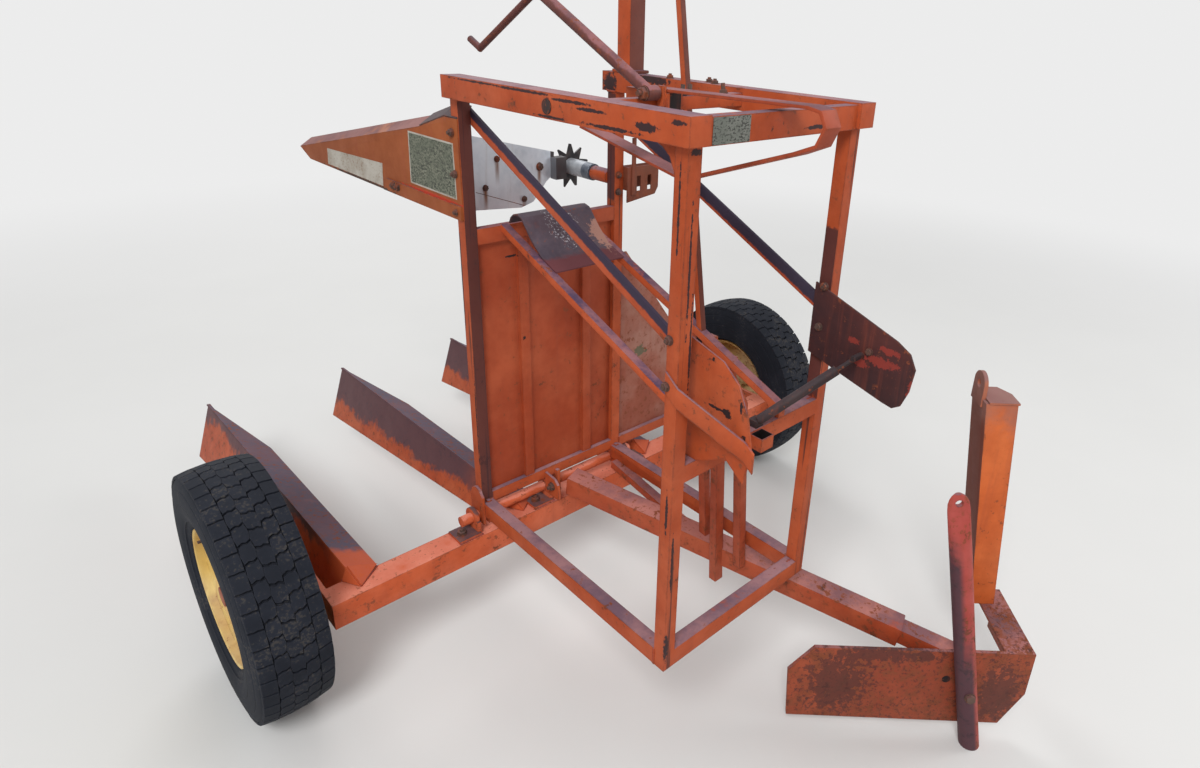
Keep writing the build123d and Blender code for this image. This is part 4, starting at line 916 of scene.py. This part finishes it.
pale_label = worn_label("pale_label", (0.43, 0.40, 0.35), (0.33, 0.29, 0.24), (0.19, 0.10, 0.06), 0.66)
green_label = worn_label("green_label", (0.110, 0.120, 0.085), (0.200, 0.205, 0.150), (0.038, 0.042, 0.030),
                         0.58)
bm = bmesh.new()
strip = [(0.792, 1.3185), (0.800, 1.2700), (0.418, 1.2700), (0.410, 1.3340)]
add_patch(bm, [(WING_FACE, y, z) for y, z in strip], 0.8 * MM)
border = [(0.2400, 1.4430), (0.2480, 1.3100), (0.0120, 1.3100), (0.0150, 1.4430)]
add_patch(bm, [(WING_FACE, y, z) for y, z in border], 0.5 * MM)
add_piece("wing_label_pale", bm, pale_label, "tower")
bm = bmesh.new()
inside = [(0.2345, 1.4390), (0.2420, 1.3145), (0.0170, 1.3145), (0.0195, 1.4390)]
add_patch(bm, [(WING_FACE, y, z) for y, z in inside], 1.0 * MM)
add_piece("wing_label_green", bm, green_label, "tower")
bm = bmesh.new()
for y, z in ((0.0145, 1.4680), (0.0110, 1.3720), (0.0120, 1.2800)):
    add_bolt(bm, (WING_FACE - 0.001, y, z), (-1, 0, 0), 9, stub=5)
for y in (0.318, 0.342):
    add_bolt(bm, (WING_FACE - 0.004, y, 1.286), (-1, 0, 0), 10, stub=3)
add_piece("wing_bolts", bm, bolt_steel, "tower", 25)


# Columns: place of each bolt across the machine, height.
DEFLECTOR_BOLTS = [(-0.0618, 1.3315), (-0.2213, 1.3729), (-0.2655, 1.3037), (-0.1253, 1.2507)]
DEFLECTOR_SIDE = Vector((0.238, -0.971, 0))


def galvanised_steel():
    """Dull zinc with a faint spangle, grey streaks, rust under the bolts and a dark bracket at its end."""
    material, tree, shader = new_material("galvanised_steel")
    where = place_on(tree)
    cells = wire(tree, "TexVoronoi", {"Vector": where, "Scale": 95.0}, feature="F1").outputs["Color"]
    spangle = axes_of(tree, cells)[0]
    cloud = grain(tree, where, 11.0, 6.0)
    run_scale = wire(tree, "Mapping", {"Vector": where, "Scale": (40, 40, 3)}).outputs[0]
    runs = grain(tree, run_scale, 1.0, 5.0)
    color = tint(tree, mask(tree, cloud, 0.3, 0.7), (0.50, 0.56, 0.63, 1), (0.64, 0.69, 0.75, 1))
    color = tint(tree, times(tree, spangle, 0.25), color, (0.74, 0.78, 0.83, 1))
    color = tint(tree, times(tree, mask(tree, runs, 0.60, 0.80), 0.35), color, (0.30, 0.25, 0.22, 1))
    axes = axes_of(tree, where)
    for x, z in DEFLECTOR_BOLTS:
        aside = calc(tree, "ABSOLUTE", minus(tree, axes[0], x))
        under = minus(tree, z, axes[2])
        stain = minus(tree, 1.0, mask(tree, aside, 0.002, 0.011))
        stain = times(tree, stain, mask(tree, under, -0.004, 0.006))
        stain = times(tree, stain, minus(tree, 1.0, mask(tree, under, 0.02, 0.075)))
        stain = times(tree, stain, mask(tree, runs, 0.30, 0.62))
        color = tint(tree, stain, color, (0.20, 0.085, 0.040, 1))
    bracket = mask(tree, axes[0], -0.0155, -0.0135)
    color = tint(tree, bracket, color, (0.030, 0.024, 0.026, 1))
    connect(tree, shader, color, plus(tree, 0.36, times(tree, spangle, 0.18)), cloud, 0.001, 0.3)
    metal = minus(tree, 0.55, times(tree, runs, 0.4))
    tree.links.new(times(tree, metal, minus(tree, 1.0, bracket)), shader.inputs["Metallic"])
    return material


dress("deflector", galvanised_steel(), 0.6)


def on_deflector(x, z, lift=0.0):
    """A point on the deflector's front face, which runs from the post to the star."""
    y = 0.083 + (x + 0.400) * (0.098 / 0.400)
    return Vector((x, y, z)) + DEFLECTOR_SIDE * lift


bm = bmesh.new()
for number, (x, z) in enumerate(DEFLECTOR_BOLTS):
    add_bolt(bm, on_deflector(x, z, 0.0), DEFLECTOR_SIDE, 11 if number == 0 else 8, stub=2)
sweep(bm,
      [on_deflector(-0.298, 1.2975, 0.0002), on_deflector(-0.200, 1.2605, 0.0002),
       on_deflector(-0.122, 1.2310, 0.0002)], 0.0009, 6)
add_piece("deflector_bolts", bm, bolt_steel, "tower", 25)

# Counting star
# A star of thin steel teeth turns on a shaft in a tube welded behind the far rear post. It counts the bales
# and works the trip gear in the box beside the post.


def star_finish():
    """Black teeth on a grey sleeve, which a darker ring closes at its front."""
    material, tree, shader = new_material("star_finish")
    where = place_on(tree)
    along = axes_of(tree, where)[1]
    dirt = grain(tree, where, 60.0, 6.0)
    teeth = tint(tree, mask(tree, dirt, 0.4, 0.7), (0.018, 0.017, 0.020, 1), (0.060, 0.048, 0.046, 1))
    sleeve = tint(tree, mask(tree, dirt, 0.4, 0.7), (0.30, 0.32, 0.35, 1), (0.42, 0.44, 0.47, 1))
    ring = tint(tree, mask(tree, dirt, 0.4, 0.7), (0.085, 0.10, 0.13, 1), (0.14, 0.16, 0.19, 1))
    color = tint(tree, mask(tree, along, 0.2042, 0.2046), sleeve, teeth)
    color = tint(tree, mask(tree, along, 0.1272, 0.1276), ring, color)
    connect(tree, shader, color, plus(tree, 0.35, times(tree, dirt, 0.3)), dirt, 0.0004, 0.5)
    shader.inputs["Metallic"].default_value = 0.4
    return material


STAR = Vector((78.0, 205.75, 1313.0)) * MM
bm = bmesh.new()
TEETH = 9
outline = []
for i in range(TEETH):
    for turn, r, bend in ((-0.05, 0.0645, 0.003 if i % 2 else -0.001), (0.05, 0.0650, 0.002),
                          (0.5, 0.0370, 0.0)):
        a = 2 * math.pi * (i + 0.25 + turn) / TEETH
        outline.append(STAR + Vector((r * math.cos(a), bend, r * math.sin(a))))
skin(bm, [outline, [p + Vector((0, 0.005, 0)) for p in outline]])
# Columns: start and end behind the star's front, radius.
SLEEVES = [(-0.111, 0.0005, 0.0240), (-0.165, -0.100, 0.0090), (0.0, 0.022, 0.0150), (0.0, 0.0395, 0.0090)]
for start, end, r in SLEEVES:
    skin(bm,
         [ring_points(STAR + Vector((0, y, 0)), (0, 1, 0), radius, 36)
          for y, radius in ((start, r - 0.001), (start + 0.001, r), (end - 0.001, r), (end, r - 0.001))])
star = add_piece("star_teeth", bm, star_finish(), "counter", 25)
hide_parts("star_wheel")
dress("star_bracket", frame_paint, 0.8)
trip_paint = painted("trip_paint", (0.16, 0.045, 0.024), (0.22, 0.070, 0.035), fading=0.7, top=0.9, chips=0.7,
                     edges=0.8, speckle=0.6)
dress("trip_box", trip_paint, 1.2)

# Fishtail plate and its strut
# A maroon steel plate hangs on the far front post, and a black telescopic strut ties it to the front tube.
# The plate's nearly black colour is partly its dark paint and partly painted shade.
fish_paint = painted("fishtail_paint", (0.040, 0.016, 0.018), (0.095, 0.026, 0.022), (0.030, 0.018, 0.024),
                     (0.060, 0.030, 0.034), fading=0.7, top=0.8, chips=0.3, edges=0.8, speckle=0.3)
tree = fish_paint.node_tree
# Columns: centre, half sizes of the places where the paint is still red.
RED_PLACES = [
    ((0.053, -0.905, 1.082), (0.02, 0.045, 0.012)), ((0.053, -0.858, 1.065), (0.02, 0.020, 0.010)),
    ((0.053, -0.985, 1.040), (0.02, 0.012, 0.040)), ((0.053, -0.835, 1.110), (0.02, 0.014, 0.008)),
    ((0.053, -0.920, 1.112), (0.02, 0.030, 0.008))]
lay_over(fish_paint, (0.21, 0.030, 0.022), ragged_spots(tree, RED_PLACES, 85.0, 3.4))
dress("fishtail_plate", fish_paint, 1.0)
FISH_FACE = 52.7 * MM
bm = bmesh.new()
for y, z in ((-0.7436, 1.2075), (-0.7416, 1.1116)):
    add_bolt(bm, (FISH_FACE, y, z), (-1, 0, 0), 9, stub=3)
add_bolt(bm, (FISH_FACE, -0.8748, 1.0971), (-1, 0, 0), 8)
add_piece("fishtail_bolts", bm, bolt_steel, "tower", 25)
strut_paint = painted("strut_paint", (0.030, 0.020, 0.022), (0.055, 0.034, 0.034), (0.045, 0.034, 0.040),
                      (0.070, 0.050, 0.055), fading=0.8, top=0.6, chips=0.3, edges=0.7, speckle=0.4)
dress("strut_barrel", strut_paint, 0.8)
dress("strut_rod", strut_paint, 0.5)

# Mast
# A square steel mast stands on the far top tube, and a slender strut slants down from it to the chute.
MAROON = (0.060, 0.022, 0.020)
mast_paint = painted("mast_paint", ORANGE, FADED_ORANGE, fading=0.7, top=1.0, chips=0.6, edges=0.9, speckle=0.4)
# painted shade: the mast's front face, which looks along -y, is laid over in dark maroon
lay_over(mast_paint, MAROON, times(mast_paint.node_tree, facing_to(mast_paint.node_tree, (0, -1, 0)), 0.8))
dress("mast", mast_paint, 2.0)
dress("mast_strut", mast_paint, 1.2)

# Hold-down strap and trip lever
# A flat strap is bent round the front bar and held by a block on the top cross tube. Beside it a bent lever
# with a hook turns on a pin.
strap_paint = painted("strap_paint", (0.34, 0.058, 0.022), (0.40, 0.085, 0.036), (0.150, 0.062, 0.072),
                      (0.30, 0.120, 0.120), fading=0.6, top=1.0, chips=0.6, edges=0.8, speckle=0.4)
lever_paint = painted("lever_paint", (0.105, 0.032, 0.028), (0.15, 0.050, 0.040), (0.075, 0.044, 0.056),
                      fading=0.6, top=0.9, chips=0.7, edges=0.5, speckle=0.6)
dress("hold_down_strap", strap_paint, 1.0)
dress("strap_block", frame_paint, 1.4)
dress("trip_lever", lever_paint, 0.8)
# painted shade: a dark sheet over the strap block's open end stands for the shade inside it
painted_hollow_shade = painted("painted_hollow_shade", (0.012, 0.008, 0.009), (0.020, 0.012, 0.012), (0.015, 0.010, 0.012),
                      BARE_STEEL, fading=0.6, top=0.3, chips=0.2, edges=0.0, speckle=0.4)
bm = bmesh.new()
add_patch(bm,
          [(-0.1880, -0.4650, 1.5535), (-0.1390, -0.4650, 1.5535), (-0.1390, -0.4650, 1.5935),
           (-0.1880, -0.4650, 1.5935)], 0.4 * MM)
add_piece("block_hollow_shade", bm, painted_hollow_shade, "tower")
bm = bmesh.new()
add_bolt(bm, (-0.243, -0.46525, 1.596), (-1, 0, 0), 13, stub=7)
add_piece("lever_nut", bm, bolt_steel, "tower", 25)
bm = bmesh.new()
for x, lean in ((-0.112, 0.25), (-0.088, 0.10), (0.018, 0.0)):
    add_bolt(bm, (x, -0.440, 1.585), (lean, 0.15, 1), 10, stub=14)
add_piece("cross_tube_studs", bm, bolt_steel, "tower", 25)

# Drawbar
# A square tube slants down from the tower to the hitch, with a smaller tube that slides in its end. Three flat
# hangers tie it to the chute, and a short brace to the pivot's hangers.
bar_paint = painted("drawbar_paint", (0.38, 0.062, 0.021), (0.46, 0.105, 0.045), (0.190, 0.085, 0.095),
                    (0.44, 0.170, 0.140), fading=0.7, top=1.0, chips=0.7, edges=0.8, speckle=0.6)
for node in ("drawbar", "inner_drawbar", "drawbar_brace", "near_hanger", "far_hanger", "rear_hanger"):
    dress(node, bar_paint, 2.0)

# Hitch
# Two rusty plates meet at a corner in front of the drawbar and carry an upright channel with a lug. A pipe
# leg, flattened at its top, swings on a bolt through the front plate and props the hitch up.
# The plates' paint is darker than the frame's, partly for their rust and partly as painted shade.
hitch_paint = painted("hitch_paint", (0.27, 0.050, 0.022), (0.36, 0.080, 0.032), (0.120, 0.060, 0.070),
                      (0.34, 0.130, 0.120), fading=0.6, top=1.0, chips=1.0, edges=0.8, speckle=1.0)
upright_paint = painted("upright_paint", (0.60, 0.125, 0.028), (0.66, 0.175, 0.052), (0.28, 0.150, 0.135),
                        fading=0.5, top=1.0, chips=0.35, edges=0.8, speckle=0.3)
leg_paint = painted("leg_paint", (0.38, 0.055, 0.042), (0.44, 0.090, 0.075), (0.085, 0.045, 0.075), fading=0.7,
                    top=0.9, chips=0.9, edges=0.8, speckle=0.7)
ALONG_PLATE = Vector((0.716113, -0.697984, 0))
PLATE_OUT = Vector((-0.697984, -0.716113, 0))
tree = hitch_paint.node_tree
plate_end = Vector((0.0425, -0.87275, 0.160))
# Columns: centre, half sizes of the dark places on the front plate.
DARK_PLACES = [
    (tuple(plate_end + ALONG_PLATE * 0.050), (0.085, 0.085, 0.110)),
    (tuple(plate_end + ALONG_PLATE * 0.160 + UP * 0.100), (0.160, 0.160, 0.024)),
    (tuple(plate_end + ALONG_PLATE * 0.480 + UP * -0.020), (0.060, 0.060, 0.110)),
    (tuple(plate_end + ALONG_PLATE * 0.270 + UP * 0.098), (0.030, 0.030, 0.022))]
lay_over(hitch_paint, MAROON, times(tree, ragged_spots(tree, DARK_PLACES, 62.0, 4.2), 0.72))
mottle = mask(tree, grain(tree, place_on(tree), 95.0, 6.0, 0.7), 0.55, 0.60)
lay_over(hitch_paint, (0.075, 0.022, 0.018), times(tree, mottle, 0.7))
dress("hitch_frame", hitch_paint, 1.4)

# painted shade darkens the upright's near flange, with darker patches near its edge; the upright is dusty at its
# top, which a small plate closes
tree = upright_paint.node_tree
lay_over(upright_paint, (0.090, 0.028, 0.022), times(tree, facing_to(tree, -ALONG_PLATE, 0.3, 0.6), 0.9))
upright_foot = Vector((0.470123, -0.962783, 0))
near_edge = [(tuple(upright_foot + PLATE_OUT * 0.056 + UP * z), (0.010, 0.060, half))
             for z, half in ((0.720, 0.110), (0.600, 0.060))]
lay_over(upright_paint, (0.105, 0.036, 0.028), times(tree, ragged_spots(tree, near_edge, 60.0, 3.0), 0.8))
axes = axes_of(tree, place_on(tree))
dust = plus(tree, axes[2], times(tree, grain(tree, place_on(tree), 22.0, 6.0), 0.22))
dust = times(tree, mask(tree, dust, 0.90, 1.02), 0.6)
lay_over(upright_paint, (0.24, 0.125, 0.105), dust)
dress("hitch_upright", upright_paint, 1.2)
UPRIGHT_TOP = 894 * MM
top_middle = Vector((0.470123, -0.962783, 0)) + ALONG_PLATE * 0.0375 + PLATE_OUT * 0.056 + UP * UPRIGHT_TOP
cap = [top_middle + ALONG_PLATE * u - PLATE_OUT * v
       for u, v in ((-0.033, -0.003), (0.043, -0.003), (0.043, 0.050), (0.020, 0.088), (-0.033, 0.088))]
bm = bmesh.new()
skin(bm, [[c + UP * h for c in cap] for h in (0.0, 0.005)])
add_piece("upright_cap", bm, upright_paint, "hitch")
# painted shade: a dark disc on the front plate stands for a hole
bm = bmesh.new()
hole = Vector((0.2832, -1.1074, 0.1836))
skin(bm, [ring_points(hole + PLATE_OUT * h, PLATE_OUT, r, 24) for h, r in ((-0.0005, 0.011), (0.0007, 0.011))])
painted_hole_shade = painted("painted_hole_shade", (0.012, 0.008, 0.009), (0.020, 0.012, 0.012), BARE_STEEL, BARE_STEEL,
                    fading=0.6, top=0.3, chips=0.2, edges=0.0, speckle=0.4)
add_piece("hitch_plate_hole_shade", bm, painted_hole_shade, "hitch", 30)

LEG_R = 0.026
LEG_EYE = Vector((0.199354, -1.07172, 0.75157))
HITCH_A = Vector((0.0425, -0.87275, 0))
LEG_PLACE = 0.418          # the foot's place along the front plate
LEG_LEAN = 0.172
LEG_RISE = 0.775
leg_foot = HITCH_A + ALONG_PLATE * LEG_PLACE + PLATE_OUT * (LEG_R + 0.007)
leg_head = leg_foot - ALONG_PLATE * LEG_LEAN + UP * LEG_RISE
leg_run = (leg_head - leg_foot).normalized()
leg_long = (leg_head - leg_foot).length
leg_across = PLATE_OUT.cross(leg_run).normalized()
# Columns: distance up the leg, half width along the plate, half thickness.
LEG_SECTIONS = [
    (0.30, 0.026, 0.026), (leg_long - 0.130, 0.026, 0.026), (leg_long - 0.105, 0.0262, 0.0220),
    (leg_long - 0.080, 0.0266, 0.0130), (leg_long - 0.060, 0.0268, 0.0075), (leg_long - 0.045, 0.0266, 0.0060),
    (leg_long - 0.026, 0.0250, 0.0060), (leg_long - 0.014, 0.0205, 0.0060), (leg_long - 0.006, 0.0150, 0.0060),
    (leg_long - 0.001, 0.0080, 0.0056)]


def leg_ring(up_leg, half_wide, half_thick, on_ground=False):
    """A ring round the leg; on the ground it lies level where the foot is cut."""
    ring = []
    for i in range(32):
        a = 2 * math.pi * i / 32
        p = leg_foot + leg_run * up_leg + leg_across * half_wide * math.cos(a) + PLATE_OUT * half_thick * math.sin(a)
        if on_ground:
            p -= leg_run * (p.z / leg_run.z)
        ring.append(p)
    return ring


def cut_hole(name, mesh, centre, axis, radius, half_deep):
    """The mesh with a round hole through it."""
    bm = bmesh.new()
    skin(bm,
         [ring_points(Vector(centre) + Vector(axis) * h, axis, radius, 28) for h in (-half_deep, half_deep)])
    drill = bpy.data.objects.new(name + "_drill", from_bmesh(name + "_drill", bm))
    blank = bpy.data.objects.new(name + "_blank", mesh)
    for obj in (drill, blank):
        bpy.context.scene.collection.objects.link(obj)
    cut = blank.modifiers.new("hole", "BOOLEAN")
    cut.operation = "DIFFERENCE"
    cut.object = drill
    cut.solver = "EXACT"
    result = bpy.data.meshes.new_from_object(blank.evaluated_get(bpy.context.evaluated_depsgraph_get()))
    for obj in (drill, blank):
        bpy.data.objects.remove(obj)
    smooth(result, 34)
    return result


bm = bmesh.new()
rings = [leg_ring(0, LEG_R, LEG_R, True)] + [leg_ring(*row) for row in LEG_SECTIONS]
skin(bm, rings)
tree = leg_paint.node_tree
place = place_on(tree)
leg_z = plus(tree, axes_of(tree, place)[2], times(tree, grain(tree, place, 26.0), 0.14))
# painted shade: the side of the pipe that faces across is dark up to about 0.7 m, and below about 0.4 m it wraps
# round most of the pipe
dark = times(tree, facing_to(tree, leg_across, -0.1, 0.55), minus(tree, 1.0, mask(tree, leg_z, 0.66, 0.74)))
low_painted_shade = times(tree, facing_to(tree, leg_across, -0.75, -0.25),
                 minus(tree, 1.0, mask(tree, leg_z, 0.30, 0.52)))
lay_over(leg_paint, (0.045, 0.030, 0.042), times(tree, calc(tree, "MAXIMUM", dark, low_painted_shade), 0.88))
mesh = cut_hole("leg_pipe", from_bmesh("leg_pipe", bm), LEG_EYE, PLATE_OUT, 0.009, 0.03)
leg = new_piece("leg_pipe_flattened", mesh, leg_paint, "leg")
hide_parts("prop_leg")
bm = bmesh.new()
leg_bolt = leg_foot + leg_run * 0.190
skin(bm, [ring_points(leg_bolt + PLATE_OUT * h, PLATE_OUT, 0.009, 20) for h in (-0.032, 0.027)])
add_bolt(bm, leg_bolt + PLATE_OUT * 0.0255, PLATE_OUT, 13)
add_piece("leg_bolt", bm, bolt_steel, "leg", 25)

# Floor, light and view
# A pale floor and soft even light, seen from eye height at the near front corner.
floor = bpy.data.objects.new("floor", bpy.data.meshes.new("floor_mesh"))
bm = bmesh.new()
FLOOR_R = 40.0
bm.faces.new([bm.verts.new(p) for p in ring_points((0, 0, 0), UP, FLOOR_R, 64)])
bm.to_mesh(floor.data)
bm.free()
bpy.context.scene.collection.objects.link(floor)
material, tree, shader = new_material("pale_floor")
where = place_on(tree)
soft = grain(tree, where, 1.2, 3.0)
tree.links.new(tint(tree, soft, (0.66, 0.66, 0.65, 1), (0.70, 0.70, 0.69, 1)), shader.inputs["Base Color"])
shader.inputs["Roughness"].default_value = 0.9
SKY_SEEN = 0.84
FADE_NEAR = 2.4            # where the floor starts and ends its fade to the sky
FADE_FAR = 7.0
away = wire(tree, "VectorMath", {0: where}, operation="LENGTH").outputs["Value"]
rays = wire(tree, "LightPath").outputs
fade = times(tree, mask(tree, away, FADE_NEAR, FADE_FAR), rays["Is Camera Ray"])
sky = wire(tree, "Emission", {"Strength": SKY_SEEN})
both = wire(tree, "MixShader", {0: fade, 1: shader.outputs[0], 2: sky.outputs[0]})
tree.links.new(both.outputs[0], tree.nodes["Material Output"].inputs["Surface"])
floor.data.materials.append(material)

world = bpy.data.worlds.new("soft_sky")
bpy.context.scene.world = world
world.use_nodes = True
tree = world.node_tree
rays = wire(tree, "LightPath").outputs
seen = calc(tree, "MAXIMUM", rays["Is Camera Ray"],
            calc(tree, "MAXIMUM", rays["Is Glossy Ray"], rays["Is Transmission Ray"]))
SKY_GLOW = 0.50
glow = plus(tree, SKY_GLOW, times(tree, seen, SKY_SEEN - SKY_GLOW))
tree.links.new(glow, tree.nodes["Background"].inputs["Strength"])
tree.nodes["Background"].inputs["Color"].default_value = (1, 1, 1, 1)

# Columns: name, place, size, power, aimed at.
LAMPS = [("key_lamp", (-4.2, -3.2, 5.6), 2.6, 330, (0, -0.2, 0.7)),
         ("fill_lamp", (4.6, -3.6, 4.0), 3.4, 120, (0, 0, 0.6)),
         ("back_lamp", (1.5, 5.5, 5.0), 3.6, 150, (0, 0, 0.8))]
for name, place, size, power, aim in LAMPS:
    lamp = bpy.data.objects.new(name, bpy.data.lights.new(name, "AREA"))
    lamp.data.shape = "DISK"
    lamp.data.size = size
    lamp.data.energy = power
    lamp.location = place
    lamp.rotation_euler = (Vector(aim) - Vector(place)).to_track_quat("-Z", "Y").to_euler()
    bpy.context.scene.collection.objects.link(lamp)

EYE = (-1.28477, -1.61738, 1.74146)
EYE_TURN = (67.647, -2.524, -44.261)
camera = bpy.data.objects.new("camera", bpy.data.cameras.new("camera"))
camera.location = EYE
camera.rotation_euler = [math.radians(a) for a in EYE_TURN]
camera.data.lens = 22.644
camera.data.shift_x = -0.06382
camera.data.shift_y = -0.04878
camera.data.clip_end = 200
bpy.context.scene.collection.objects.link(camera)
bpy.context.scene.camera = camera
bpy.context.scene.view_settings.view_transform = "Standard"
